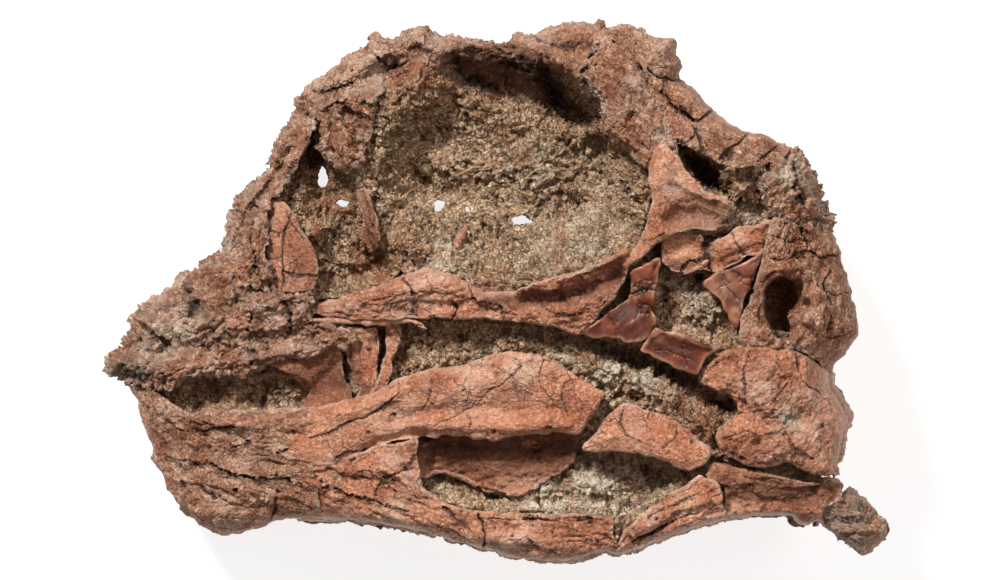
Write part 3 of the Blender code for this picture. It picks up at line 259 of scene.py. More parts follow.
def read_map(values, x, y):
    """Value of the map at each point, blended between the four squares around it."""
    u = np.clip((x - MAP_LOW[0]) / MAP_STEP, 0, MAP_SIZE[0] - 1.001)
    v = np.clip((y - MAP_LOW[1]) / MAP_STEP, 0, MAP_SIZE[1] - 1.001)
    i, j = u.astype(int), v.astype(int)
    u, v = u - i, v - j
    return ((1 - u) * (1 - v) * values[i, j] + u * (1 - v) * values[i + 1, j]
            + (1 - u) * v * values[i, j + 1] + u * v * values[i + 1, j + 1])


def middle(x):
    """Height of the head's middle plane: a straight rise towards the back."""
    return MID_HEIGHT + MID_SLOPE * x


def carve(x, y, marks, seed):
    """Height that the marks add at each point, and how much painted shade they lay on it. A mark is a
    line, its half width and its height: a bell across the line, a V with painted shade in its bottom
    for a crack, or a shade patch: a dark band painted where shade falls.
    The points are first shifted by a little noise, so that no mark runs quite straight."""
    flat = np.stack([x, y, np.zeros(len(x))], 1)
    x = x + 0.07 * waves(flat, 0.5, 2, seed + 5)
    y = y + 0.07 * waves(flat, 0.5, 2, seed + 6)
    lift, dark = np.zeros(len(x)), np.zeros(len(x))
    for kind, line, width, height in marks:
        line = np.array(line, float)
        line = smooth_line(line, closed=False, spans=4) if len(line) > 1 else line
        reach = 2.5 * width
        low, high = line.min(0) - reach, line.max(0) + reach
        close = (x > low[0]) & (x < high[0]) & (y > low[1]) & (y < high[1])
        if not close.any():
            continue
        if len(line) > 1:
            d = near_line(x[close], y[close], line, False)[0] / width
        else:
            d = np.hypot(x[close] - line[0, 0], y[close] - line[0, 1]) / width
        # This mark paints shade: a dark band where shade falls, darkest along its line.
        if kind == "shade_patch":
            dark[close] = np.maximum(dark[close], height * np.exp(-d * d))
        elif kind == "crack":
            v = np.clip(1 - d, 0, 1)
            lift[close] -= height * v
            # The bottom of a crack gets painted shade.
            dark[close] = np.maximum(dark[close], np.clip(1.5 * v, 0, 1))
        else:
            lift[close] += height * np.exp(-d * d)
    return lift, dark


def slab(rings, spacing, faces, wall_step, clip=()):
    """Closed slab over the rings. Square cells of a grid are kept where their middle is inside,
    their outer corners are moved onto the rings, and each corner goes to the heights of the two
    faces, which rows of wall cells join. Returns points, quads and each point's rim distance."""
    low, high = rings[0].min(0), rings[0].max(0)
    for ring in clip:
        low, high = np.maximum(low, ring.min(0)), np.minimum(high, ring.max(0))
    low, high = low - spacing, high + 2 * spacing
    gx = np.arange(low[0], high[0], spacing)
    gy = np.arange(low[1], high[1], spacing)
    shape = (len(gx), len(gy))
    mx, my = np.meshgrid(gx[:-1] + spacing / 2, gy[:-1] + spacing / 2, indexing="ij")
    keep = within(mx.ravel(), my.ravel(), rings)
    for ring in clip:
        keep &= within(mx.ravel(), my.ravel(), [ring])
    keep = keep.reshape(mx.shape)
    keep[0], keep[-1], keep[:, 0], keep[:, -1] = False, False, False, False
    for _ in range(2):
        a, b, c, d = keep[:-1, :-1], keep[1:, :-1], keep[:-1, 1:], keep[1:, 1:]
        b |= a & d & ~b & ~c
        a |= b & c & ~a & ~d
    around = np.zeros(shape, int)
    for i, j in product((0, 1), repeat=2):
        around[i : i + keep.shape[0], j : j + keep.shape[1]] += keep
    used = around > 0
    rim_point = used & (around < 4)
    number = np.full(shape, -1)
    number[used] = np.arange(used.sum())
    px, py = np.meshgrid(gx, gy, indexing="ij")
    x, y = px[used], py[used]
    near = np.full(len(x), 1e9)
    foot = np.zeros((len(x), 2))
    for ring in (*rings, *clip):
        d, f = near_line(x, y, ring, True)
        closer = d < near
        near[closer], foot[closer] = d[closer], f[closer]
    edge = rim_point[used]
    x[edge], y[edge] = foot[edge].T
    near[edge] = 0
    bottom, top = faces(x, y, near)
    ci, cj = np.nonzero(keep)
    corners = [number[ci, cj], number[ci + 1, cj], number[ci + 1, cj + 1], number[ci, cj + 1]]
    upper = np.stack(corners, 1)
    steps = []
    for k, (di, dj) in enumerate(((0, -1), (1, 0), (0, 1), (-1, 0))):
        open_side = ~keep[ci + di, cj + dj]
        steps.append(np.stack([corners[k][open_side], corners[(k + 1) % 4][open_side]], 1))
    sides = np.vstack(steps)
    count = len(x)
    edge_index = np.nonzero(edge)[0]
    rank = np.full(count, -1)
    rank[edge_index] = np.arange(len(edge_index))
    rows = max(1, int(np.ceil((top - bottom)[edge_index].mean() / wall_step)))
    points = [np.stack([x, y, top], 1), np.stack([x, y, bottom], 1)]
    rims = [near, near]
    for row in range(1, rows):
        share = row / rows
        z = top[edge_index] * (1 - share) + bottom[edge_index] * share
        points.append(np.stack([x[edge_index], y[edge_index], z], 1))
        rims.append(np.zeros(len(edge_index)))
    quads = [upper, upper[:, ::-1] + count]

    def level(row, which):
        if row == 0:
            return which
        if row == rows:
            return which + count
        return 2 * count + (row - 1) * len(edge_index) + rank[which]

    for row in range(rows):
        a, b = sides.T
        quads.append(np.stack([level(row, b), level(row, a), level(row + 1, a), level(row + 1, b)], 1))
    return np.vstack(points), np.vstack(quads), np.concatenate(rims)


def point_normals(points, quads):
    """Mean of the normals of the faces at each point, from the cross product of their diagonals."""
    a, b, c, d = (points[quads[:, k]] for k in range(4))
    face = np.cross(c - a, d - b)
    total = np.zeros_like(points)
    for k in range(4):
        for axis in range(3):
            total[:, axis] += np.bincount(quads[:, k], face[:, axis], len(points))
    return total / (np.linalg.norm(total, axis=1)[:, None] + 1e-12)


def ragged(outline, amount, seed, spread=0.0, size=0.5):
    """The outline moved outwards by spread, with its points pushed in and out by noise, as a broken
    or weathered edge."""
    along = np.roll(outline, -1, 0) - np.roll(outline, 1, 0)
    normal = np.stack([along[:, 1], -along[:, 0]], 1)
    normal /= np.linalg.norm(normal, axis=1)[:, None] + 1e-9
    flat = np.column_stack([outline, np.zeros(len(outline))])
    x, y = outline.T
    turning = np.sign(np.sum(x * np.roll(y, -1) - y * np.roll(x, -1)))
    return outline + normal * (turning * spread + amount * waves(flat, size, 3, seed))[:, None]


def build(name, points, quads, values, finish):
    """Object in metres from points in millimetres, with a number for each point in values."""
    mesh = bpy.data.meshes.new(name)
    mesh.vertices.add(len(points))
    mesh.vertices.foreach_set("co", (points * MM).astype(np.float32).ravel())
    mesh.loops.add(quads.size)
    mesh.loops.foreach_set("vertex_index", quads.astype(np.int32).ravel())
    mesh.polygons.add(len(quads))
    mesh.polygons.foreach_set("loop_start", np.arange(0, quads.size, 4, dtype=np.int32))
    mesh.update(calc_edges=True)
    for key, value in values.items():
        mesh.attributes.new(key, "FLOAT", "POINT").data.foreach_set("value", value.astype(np.float32))
    mesh.materials.append(finish)
    mesh.shade_smooth()
    piece = bpy.data.objects.new(name, mesh)
    bpy.context.scene.collection.objects.link(piece)
    return piece


def linear(code):
    """Linear colour from an sRGB hex value."""
    srgb = np.array([int(code[k : k + 2], 16) for k in (1, 3, 5)]) / 255
    return (*np.where(srgb <= 0.04045, srgb / 12.92, ((srgb + 0.055) / 1.055) ** 2.4), 1.0)


def add(tree, kind, inputs=None, stops=None, **settings):
    """Adds a node, with its settings, its input values or links, and a ramp's stops."""
    made = tree.nodes.new("ShaderNode" + kind)
    for key, value in settings.items():
        setattr(made, key, value)
    if stops:
        while len(made.color_ramp.elements) < len(stops):
            made.color_ramp.elements.new(1.0)
        for element, (place, code) in zip(made.color_ramp.elements, stops):
            element.position = place
            element.color = linear(code)
    for key, value in (inputs or {}).items():
        if isinstance(value, bpy.types.NodeSocket):
            tree.links.new(value, made.inputs[key])
        else:
            made.inputs[key].default_value = value
    return made


def blank_finish(name):
    """Empty material with its node tree and the place of each point in its piece's own metres."""
    made = bpy.data.materials.new(name)
    made.use_nodes = True
    tree = made.node_tree
    tree.nodes.clear()
    return made, tree, add(tree, "TexCoord").outputs["Object"]


def films(tree, under, seams, layers):
    """Colours laid over one another, each where the surface carries its mark. The hollow and dark
    marks paint shade, with dirt in the sand's hollows, and this painted shade also fills the seams."""
    for mark, code in layers:
        share = add(tree, "Attribute", attribute_name=mark).outputs["Fac"]
        # Seams get the painted shade of the hollow and dark marks.
        if mark in ("hollow", "dark"):
            share = add(tree, "Math", {0: share, 1: seams}, operation="MAXIMUM").outputs[0]
        under = add(tree, "Mix", {"Factor": share, "A": under, "B": linear(code)},
                    data_type="RGBA").outputs[2]
    return under


def flake_seams(tree, at, size):
    """Bent plates or clods of one size in mm. Gives the thin seams between them, which show in
    patches, and a number of its own for each."""
    bend = add(tree, "TexNoise", {"Vector": at, "Scale": 1 / (size * MM), "Detail": 3.0})
    bent = add(tree, "VectorMath", {0: bend.outputs["Color"], 1: (size * MM,) * 3, 2: at},
               operation="MULTIPLY_ADD").outputs["Vector"]
    edge = add(tree, "TexVoronoi", {"Vector": bent, "Scale": 1 / (size * MM)},
               feature="DISTANCE_TO_EDGE")
    seam = add(tree, "MapRange", {"Value": edge.outputs["Distance"], "From Max": 0.026 / size,
                                  "To Min": 0.9, "To Max": 0.0})
    patch = add(tree, "TexNoise", {"Vector": at, "Scale": 1 / (1.8 * MM), "Detail": 2.0})
    share = add(tree, "MapRange", {"Value": patch.outputs["Fac"], "From Min": 0.46, "From Max": 0.64})
    lines = add(tree, "Math", {0: seam.outputs["Result"], 1: share.outputs["Result"]},
                operation="MULTIPLY")
    plate = add(tree, "TexVoronoi", {"Vector": bent, "Scale": 1 / (size * MM)})
    own = add(tree, "SeparateColor", {"Color": plate.outputs["Color"]})
    return lines.outputs[0], own.outputs[0]


GRAIN = 0.14            # mm, across one sand grain


def loose_sandstone():
    """Beige quartz and clay sand: every grain has its own tone, the gaps between grains and clods get
    painted shade, low places dirt and painted shade, and patches are bleached nearly white, some of
    them with painted light on top, and others stained red by the bone."""
    made, tree, at = blank_finish("loose sandstone")
    grain = add(tree, "TexVoronoi", {"Vector": at, "Scale": 1 / (GRAIN * MM)})
    shade = add(tree, "SeparateColor", {"Color": grain.outputs["Color"]})
    silt = add(tree, "TexNoise", {"Vector": at, "Scale": 1 / (0.34 * MM), "Detail": 4.0,
                                  "Roughness": 0.8})
    value = add(tree, "Mix", {"Factor": 0.72, "A": shade.outputs[0], "B": silt.outputs["Fac"]})
    each = add(tree, "ValToRGB", {"Fac": value.outputs[0]},
               stops=((0.28, "#65422C"), (0.41, "#C39F7C"), (0.55, "#EFD0B0"), (0.72, "#FFF6E6")))
    # Painted shade in the gaps between grains.
    gap = add(tree, "MapRange", {"Value": grain.outputs["Distance"], "From Min": 0.46, "From Max": 0.8,
                                 "To Max": 0.75})
    grains = add(tree, "Mix", {"Factor": gap.outputs["Result"], "A": each.outputs["Color"],
                               "B": linear("#4A3020")}, data_type="RGBA")
    broad = add(tree, "TexNoise", {"Vector": at, "Scale": 1 / (2.6 * MM), "Detail": 5.0})
    tint = add(tree, "ValToRGB", {"Fac": broad.outputs["Fac"]},
               stops=((0.3, "#A8775A"), (0.48, "#BFA081"), (0.72, "#D3C09F")))
    mixed = add(tree, "Mix", {"Factor": 0.28, "A": grains.outputs[2], "B": tint.outputs["Color"]},
                data_type="RGBA")
    seams, own = flake_seams(tree, at, 0.36)
    shade = add(tree, "ValToRGB", {"Fac": own}, stops=((0.1, "#C2AF98"), (0.8, "#FFFFFF")))
    clods = add(tree, "Mix", {"Factor": 0.6, "A": mixed.outputs[2], "B": shade.outputs["Color"]},
                data_type="RGBA", blend_type="MULTIPLY")
    colour = films(tree, clods.outputs[2], seams,
                   (("pale", "#E6D9C3"), ("rust", "#A0684A"), ("hollow", "#33200F")))
    bump = add(tree, "Bump", {"Strength": 1.0, "Distance": 0.07 * MM,
                              "Height": grain.outputs["Distance"]}, invert=True)
    rough = add(tree, "TexNoise", {"Vector": at, "Scale": 1 / (0.13 * MM), "Detail": 3.0})
    crumb = add(tree, "Bump", {"Strength": 1.0, "Distance": 0.32 * MM, "Height": rough.outputs["Fac"],
                               "Normal": bump.outputs["Normal"]})
    split = add(tree, "Bump", {"Strength": 1.0, "Distance": 0.07 * MM, "Height": seams,
                               "Normal": crumb.outputs["Normal"]}, invert=True)
    shader = add(tree, "BsdfPrincipled", {"Base Color": colour, "Roughness": 0.95,
                                          "Specular IOR Level": 0.2,
                                          "Normal": split.outputs["Normal"]})
    add(tree, "OutputMaterial", {"Surface": shader.outputs["BSDF"]})
    return made


SANDSTONE = loose_sandstone()


def bells(points, spots):
    """Strongest of the bells about the spots' middles, each with its radius and strength."""
    total = np.zeros(len(points))
    for (cx, cy), radius, strength in spots:
        d = np.hypot(points[:, 0] - cx, points[:, 1] - cy) / radius
        total = np.maximum(total, strength * np.exp(-d * d))
    return total


def sand_skin(points, normals, rim, seed, pale_spots=(), rusty=(), scratched=()):
    """Sandstone surface: points pushed along their normals by clods, single grains and pits, less
    near the rim. Low places and gaps between grains are marked hollow, which paints dirt and shade on
    them, and the spots pale or rusty. Scratched spots carry parallel needle grooves, given by their
    direction."""
    clod, clod_gap = chips(points, 0.62, seed + 11)
    grain, grain_gap = chips(points, 0.24, seed + 23)
    crumb = waves(points, 0.2, 2, seed + 31, 0.7)
    pits = np.clip(waves(points, 0.45, 2, seed + 41) - 0.3, 0, 1)
    push = (0.34 * clod - 0.16 * clod_gap + 0.2 * grain - 0.1 * grain_gap + 0.07 * crumb
            - 0.6 * pits)
    for (cx, cy), radius, slant in scratched:
        share = bells(points, [((cx, cy), radius, 1.0)])
        along = np.array([np.cos(slant), np.sin(slant), 0.0])
        drawn = points - 0.86 * (points @ along)[:, None] * along
        push = push + 0.26 * share * waves(drawn, 0.28, 2, seed + 71)
    push = push * (0.3 + 0.7 * smooth_step(0.05, 0.5, rim))
    # Dirt and painted shade in low places and in the gaps between grains.
    hollow = np.clip(-1.5 * (push + 0.12), 0, 0.7) + 0.3 * grain_gap * smooth_step(0.2, -0.3, crumb)
    pale = np.clip(bells(points, pale_spots) * (0.8 + 1.1 * waves(points, 0.6, 3, seed + 53)), 0, 0.9)
    rust = 0.8 * waves(points, 1.6, 3, seed + 61) - 0.25
    rust = np.maximum(rust, bells(points, rusty) * (0.75 + 0.9 * waves(points, 0.7, 3, seed + 67)))
    return points + normals * push[:, None], {"hollow": np.clip(hollow, 0, 0.9), "pale": pale,
                                              "rust": np.clip(rust, 0, 0.85)}


# Swellings and dents of the sand: a line or a point, its half width and its height
SAND_FORMS = [
    ([(-4.6, 8.6), (-2.6, 9.4), (-0.4, 9.0)], 0.9, 0.5),
    ([(-5.0, 8.0), (-4.2, 9.4), (-3.0, 10.3)], 0.9, 0.4),
    ([(-3.0, 6.2), (-0.5, 6.0), (2.0, 6.2)], 0.8, 0.3),
    ([(2.5, 2.2), (5.0, 3.6), (6.4, 5.4)], 0.9, 0.7),
    ([(-3.8, 4.4), (-2.4, 3.6), (-1.6, 2.6)], 0.5, 0.35),
    ([(-6.0, 6.4), (-5.8, 8.2), (-5.2, 9.8), (-4.4, 11.0)], 0.9, 0.6),
    ([(3.4, 4.6), (4.2, 4.2)], 0.4, -0.6),
    ([(5.2, 7.0), (6.0, 6.6)], 0.45, -0.9),
    ([(-4.0, 6.0), (-3.4, 5.6)], 0.35, -0.6),
    ([(-9.6, 8.1), (-9.3, 6.8)], 0.5, -1.4),
    ([(-9.0, 3.0), (-8.2, 3.1)], 0.5, 0.8),
    ([(-6.9, 2.6)], 0.4, 0.5),
    ([(-8.0, 1.4), (-7.0, 1.2)], 0.5, 0.5),
    ([(-6.0, 1.3)], 0.5, -0.5),
    ([(-9.0, 1.9), (-8.7, 0.8)], 0.3, -0.8),
    ([(-5.0, 2.4), (-4.2, 1.9)], 0.35, 0.5),
    ([(-3.0, -1.7), (1.0, -1.9), (4.2, -2.4)], 0.5, 0.3),
    ([(5.2, -2.8), (7.2, -3.4), (10.0, -4.5)], 0.4, -1.0),
    ([(8.6, 2.9), (10.2, 3.0), (11.6, 3.3)], 0.35, 0.9),
    ([(4.6, -3.8), (6.5, -4.4), (8.2, -5.2)], 0.6, 0.6),
    ([(9.0, -6.2), (10.6, -6.9)], 0.8, 0.7),
    ([(10.9, -5.5), (11.6, -5.7)], 0.35, -1.4),
    ([(-15.0, -5.2), (-12.6, -5.2), (-9.8, -5.0)], 0.8, 0.5),
    ([(-14.2, -5.0)], 0.5, -0.6),
    ([(1.0, -10.6), (3.4, -10.0), (6.0, -9.6)], 0.7, 0.6),
    ([(7.8, -9.2), (8.6, -9.4)], 0.5, -0.7),
    ([(6.8, -10.8)], 0.3, -0.7),
    ([(5.9, -11.4), (6.0, -12.8)], 0.5, 1.2),
    ([(9.6, -0.6), (10.6, -0.9)], 0.7, 0.5),
    ([(12.4, 5.2), (13.0, 5.8)], 0.8, 1.2),
    ([(11.7, 6.1), (12.6, 6.2)], 0.5, 2.2),
    ([(12.8, 3.9)], 0.35, -0.4),
    ([(10.15, 0.6)], 0.25, -1.6),
]
SAND_LUMPS = 0.24       # height of the sand's broad lumps
SAND_SPAN = 1.7         # and their distance apart


def sand_top(x, y, side):
    """Outer surface of the sandstone on one side, measured from the middle plane: the bed with its
    hollows, and on the left the forms above, with broad lumps of noise added."""
    flat = np.stack([x, y, np.full(len(x), 9.0 * (side < 0))], 1)
    top = read_map(HALF_MAP, x, y) - BED - read_map(HOLLOW_MAP, x, y) - SAND_FALL
    top = top + SAND_LUMPS * waves(flat, SAND_SPAN, 2, 201)
    if side > 0:
        top = top + carve(x, y, [("soft", *form) for form in SAND_FORMS], 205)[0]
    return np.maximum(top, 0.5)


def fill(name, node, outline, seed, pale_spots=(), rusty=(), holes=(), spacing=0.07, offset=0.0,
         scratched=()):
    """One bed of sandstone on the left side, over the block that fills the head."""
    def faces(x, y, rim):
        z = middle(x) + sand_top(x, y, 1) + offset
        return z - SAND_THICK, z

    rings = [smooth_line(outline)] + [ragged(smooth_line(hole, spans=8), 0.06, seed + k, size=0.3)
                                      for k, hole in enumerate(holes)]
    points, quads, rim = slab(rings, spacing, faces, 0.12)
    points, values = sand_skin(points, point_normals(points, quads), rim, seed, pale_spots, rusty,
                               scratched)
    piece = build(name, points, quads, values, SANDSTONE)
    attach(piece, "root")
    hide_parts(node)


PINHOLES = [
    [(0.85, 3.55), (1.3, 3.72), (1.7, 3.62), (1.85, 3.4), (1.4, 3.25), (1.0, 3.3)],
    [(-3.1, 4.35), (-2.85, 4.52), (-2.55, 4.4), (-2.65, 4.05), (-2.95, 3.95)],
    [(-1.5, 4.15), (-1.35, 4.15), (-1.3, 3.95), (-1.45, 3.95)],
]
SNOUT_HOLES = [
    [(-8.85, 5.25), (-8.9, 5.7), (-8.75, 6.25), (-8.5, 6.1), (-8.35, 5.7), (-8.5, 5.2)],
    [(-8.0, 4.4), (-7.7, 4.6), (-7.35, 4.4), (-7.6, 4.15)],
]
fill("sandstone_eye_socket", "sandstone_head", [
    (-7.0, 5.0), (-7.0, 8.4), (-6.2, 10.2), (-4.8, 11.2), (-2.6, 12.0), (0.8, 12.2), (3.4, 11.8),
    (5.4, 10.4), (6.6, 9.2), (8.2, 7.4), (8.4, 5.0), (7.9, 2.6), (7.0, 1.2), (4.6, 0.3),
    (2.4, -0.3), (0.0, -0.5), (-2.4, 0.2), (-4.6, 0.9), (-5.9, 2.2), (-6.6, 3.8)], 101,
    # The wide pale spot in the lower right of the socket is partly bleached sand and partly painted
    # light where the sand faces the lamp.
    pale_spots=[((4.0, 2.4), 2.4, 0.4), ((-2.6, 1.5), 1.2, 0.65), ((1.0, 5.6), 1.2, 0.25),
                ((2.2, 6.2), 0.8, 0.35)],
    rusty=[((-4.6, 2.4), 1.0, 0.9), ((5.6, 7.6), 1.2, 0.8), ((6.6, 6.0), 0.8, 0.6),
           ((-1.0, 10.6), 2.0, 0.9), ((-6.2, 9.6), 1.0, 0.6),
           ((-4.2, 10.9), 1.4, 0.9)],
    holes=PINHOLES, scratched=[((4.4, 3.4), 3.4, 0.7)])
fill("sandstone_snout_window", "sandstone_head", [
    (-11.4, 3.0), (-10.6, 5.4), (-9.9, 7.6), (-9.0, 9.0), (-7.6, 8.8), (-6.6, 7.0), (-6.4, 5.2),
    (-5.6, 3.4), (-4.6, 1.6), (-5.6, 0.2), (-8.6, -0.5), (-9.6, 0.4), (-9.6, 2.4)], 131,
    rusty=[((-8.4, 4.4), 1.6, 0.6), ((-6.2, 1.4), 1.3, 1.0), ((-9.6, 7.0), 1.4, 1.0),
           ((-8.9, 3.0), 0.6, 0.7)], holes=SNOUT_HOLES)
fill("sandstone_cheek", "sandstone_head", [
    (-9.8, -1.4), (-5.0, -0.7), (0.0, -0.8), (4.0, -1.2), (6.0, -1.5), (8.0, -2.4), (10.6, -3.0),
    (12.2, -4.4), (12.2, -7.2), (10.8, -8.4), (9.6, -7.4), (7.0, -6.6), (4.6, -7.0), (3.6, -5.0),
    (0.0, -4.0), (-3.6, -4.9), (-8.4, -6.4), (-9.6, -5.2)], 151,
    # The first two pale spots are partly pale sand and partly painted light on the sand that rises
    # towards the lamp.
    pale_spots=[((5.6, -3.9), 1.0, 0.95), ((7.6, -4.5), 0.9, 0.95), ((8.7, -5.3), 0.7, 0.6),
                ((3.6, -3.4), 0.8, 0.5)],
    rusty=[((9.8, -5.6), 1.4, 0.9), ((10.4, -7.0), 1.0, 0.9), ((-4.4, -3.6), 0.8, 0.5)])
fill("sandstone_mouth", "sandstone_head", [
    (-16.6, -4.6), (-14.2, -3.4), (-11.6, -3.6), (-9.4, -3.0), (-8.2, -4.0), (-7.2, -5.6),
    (-8.6, -6.3), (-11.0, -6.6), (-14.0, -6.6), (-16.2, -6.4)], 171,
    rusty=[((-14.8, -5.4), 0.9, 0.9), ((-12.4, -5.6), 1.0, 0.5)])
fill("sandstone_jaw_window", "sandstone_jaw", [
    (-4.6, -8.0), (-3.4, -6.8), (0.0, -6.9), (4.4, -6.6), (7.0, -7.4), (9.2, -8.2), (10.2, -9.4),
    (9.0, -10.8), (6.8, -11.7), (6.6, -12.8), (5.4, -12.9), (4.8, -11.7), (0.0, -11.7),
    (-2.8, -11.3), (-4.4, -10.0)], 191,
    pale_spots=[((2.4, -10.5), 1.6, 0.85), ((5.0, -10.0), 2.2, 0.8), ((5.9, -12.0), 0.8, 0.5)])
fill("sandstone_cheek_window", "sandstone_head", [
    (7.4, 1.2), (9.0, 1.6), (10.8, 1.2), (12.0, 0.0), (12.6, -1.6), (12.0, -3.4), (8.8, -2.7),
    (7.4, -1.8)], 211, pale_spots=[((9.9, -0.3), 0.8, 0.95), ((10.4, -1.6), 0.9, 0.35)],
    rusty=[((11.4, -2.4), 0.7, 0.6)], scratched=[((10.0, -1.4), 1.2, 0.7)])
fill("sandstone_temple", "sandstone_head", [
    (8.4, 8.6), (9.4, 7.6), (10.6, 7.2), (12.0, 6.4), (13.4, 6.2), (13.8, 4.6), (13.2, 3.0),
    (11.0, 2.8), (9.0, 3.0), (8.6, 5.6), (8.6, 7.0)], 231,
    pale_spots=[((12.6, 3.4), 0.9, 0.5), ((12.9, 5.4), 0.7, 0.4)],
    rusty=[((12.4, 5.6), 1.0, 0.6), ((10.4, 6.0), 0.8, 0.8)])
fill("sandstone_behind_roof", "sandstone_head", [
    (5.6, 12.0), (7.6, 12.2), (8.8, 10.8), (9.8, 9.4), (9.6, 8.0), (8.8, 7.2), (7.8, 8.0),
    (7.0, 9.6), (6.0, 10.8)], 251, rusty=[((8.4, 9.4), 1.6, 0.8)], offset=0.5)

# The weathered bones of the snout, the roof, the chin and the back of the head.
# Bone that lay open to wind and sun before it was buried: the outer layer has come off in flakes and
# steps, so the surface is granular and pitted, and sand grains stick in every crevice.
HEAD = ragged(smooth_line(HEAD_EDGE, spans=10), 0.1, 7, size=0.4)


def weathered_bone():
    """Brown-red bone mineral, dull, speckled by sand grains, with a pale dusty film on worn high places
    and a painted highlight along the rims, a thin grey crust in places, and near-black painted shade
    in cracks, seams, crevices and low places."""
    made, tree, at = blank_finish("weathered fossil bone")
    broad = add(tree, "TexNoise", {"Vector": at, "Scale": 1 / (1.6 * MM), "Detail": 8.0,
                                   "Roughness": 0.68})
    base = add(tree, "ValToRGB", {"Fac": broad.outputs["Fac"]},
               stops=((0.34, "#A9654A"), (0.45, "#DA9A79"), (0.56, "#ECBC9F"), (0.7, "#F9E3D2")))
    fine = add(tree, "TexNoise", {"Vector": at, "Scale": 1 / (0.16 * MM), "Detail": 4.0,
                                  "Roughness": 0.8})
    speck = add(tree, "ValToRGB", {"Fac": fine.outputs["Fac"]},
                stops=((0.38, "#2B1308"), (0.46, "#AC6E4D"), (0.54, "#D8A786"), (0.63, "#FFF0DE")))
    grain = add(tree, "Mix", {"Factor": 0.56, "A": base.outputs["Color"], "B": speck.outputs["Color"]},
                data_type="RGBA")
    seams, own = flake_seams(tree, at, 0.5)
    shade = add(tree, "ValToRGB", {"Fac": own}, stops=((0.1, "#BFA492"), (0.9, "#FFFFFF")))
    plates = add(tree, "Mix", {"Factor": 0.7, "A": grain.outputs[2], "B": shade.outputs["Color"]},
                 data_type="RGBA", blend_type="MULTIPLY")
    # The pale film carries dust, wear and the painted rim highlight; the dark film is painted shade.
    colour = films(tree, plates.outputs[2], seams,
                   (("pale", "#EAD4C0"), ("grey", "#6F6658"), ("dark", "#2E170D")))
    rough = add(tree, "TexNoise", {"Vector": at, "Scale": 1 / (0.14 * MM), "Detail": 3.0,
                                   "Roughness": 0.7})
    bump = add(tree, "Bump", {"Strength": 1.0, "Distance": 0.42 * MM, "Height": rough.outputs["Fac"]})
    split = add(tree, "Bump", {"Strength": 1.0, "Distance": 0.06 * MM, "Height": seams,
                               "Normal": bump.outputs["Normal"]}, invert=True)
    shader = add(tree, "BsdfPrincipled", {"Base Color": colour, "Roughness": 0.82,
                                          "Specular IOR Level": 0.3,
                                          "Normal": split.outputs["Normal"]})
    add(tree, "OutputMaterial", {"Surface": shader.outputs["BSDF"]})
    return made


WEATHERED = weathered_bone()


def bone_skin(points, rim, dark, wear, spots, slant):
    """Bone surface. The points are pushed along their normals by broad swells, folded into creases
    that run with the bone, and pushed by long flakes with a step between them, by lumps, fibres and
    grit and by cracks between plates. Wear holds the heights of all seven in mm. Creases, cracks,
    gaps, pits and low places are marked dark with painted shade; spots and worn high places are
    marked pale, and the rim gets a painted highlight."""
    swell, crease, flake, lump, fibre, grit, crack = wear
    along = np.array([np.cos(slant), np.sin(slant), 0.0])
    run = (points @ along)[:, None] * along
    push = swell * waves(points, 1.6, 3, 11)
    fold = np.clip(1 - 2.4 * np.abs(waves(points - 0.66 * run, 0.8, 3, 12)), 0, 1) ** 2
    push = push - crease * fold
    # Painted shade in the creases.
    dark = np.maximum(dark, 1.4 * crease * fold * smooth_step(-0.4, 0.4, waves(points, 1.3, 2, 14)))
    if flake:
        level = 2.4 * waves(points - 0.62 * run, 0.5, 3, 13) + 4
        step = np.floor(level)
        push = push + flake * (step + smooth_step(0.62, 1.0, level - step) - 4)
    if lump:
        chip, gap = chips(points, 0.46, 17, slant, 0.4)
        push = push + lump * (chip - 0.35 * gap)
        # Painted shade in the gaps between lumps.
        dark = np.maximum(dark, 1.6 * lump * gap * smooth_step(-0.3, 0.5, waves(points, 0.9, 2, 18)))
    push = push + fibre * waves(points - 0.9 * run, 0.2, 3, 19, 0.75)
    if grit:
        share = np.clip(0.75 + waves(points, 1.2, 2, 29), 0.2, 1.1)
        chip, gap = chips(points, 0.2, 23, slant, 0.3)
        crumb = waves(points, 0.22, 2, 25, 0.7)
        push = push + grit * share * (0.8 * chip - 0.3 * gap + 0.35 * crumb)
        # Painted shade in the gaps of the grit.
        dark = np.maximum(dark, 2.0 * grit * share * np.clip(gap - 1.2 * crumb - 0.3, 0, 1))
    if crack:
        bent = points + 0.3 * np.stack([waves(points, 0.8, 3, k) for k in (31, 32, 33)], 1)
        near, second, _ = cells(bent, 2.1, 37)
        line = np.clip(1 - (second - near) * 2.1 / 2 / 0.032, 0, 1)
        line = line * smooth_step(0.1, 0.5, waves(points, 2.4, 2, 43))
        push = push - crack * line
        # Painted shade along the cracks between plates.
        dark = np.maximum(dark, 0.7 * line)
    pits = np.clip(3 * (waves(points, 0.42, 2, 51) - 0.95), 0, 1) * (grit > 0)
    push = push - 0.12 * pits
    size = swell + 0.3 * crease + 0.5 * flake + 0.5 * lump + 0.5 * grit + 0.02
    # Painted shade in the pits and in low places.
    dark = np.clip(np.maximum(dark, pits) + 0.3 * np.clip(-push / size - 0.3, 0, 1), 0, 1)
    # Pale on worn high places, and a painted highlight along the rim.
    pale = 0.4 * np.clip(push / size - 0.3, 0, 1) + 0.4 * np.exp(-(rim / 0.13) ** 2)
    pale = np.maximum(pale, bells(points, spots))
    pale = np.clip(pale * (1 + 1.1 * waves(points, 0.7, 3, 57)), 0, 1)
    return push, dark, pale


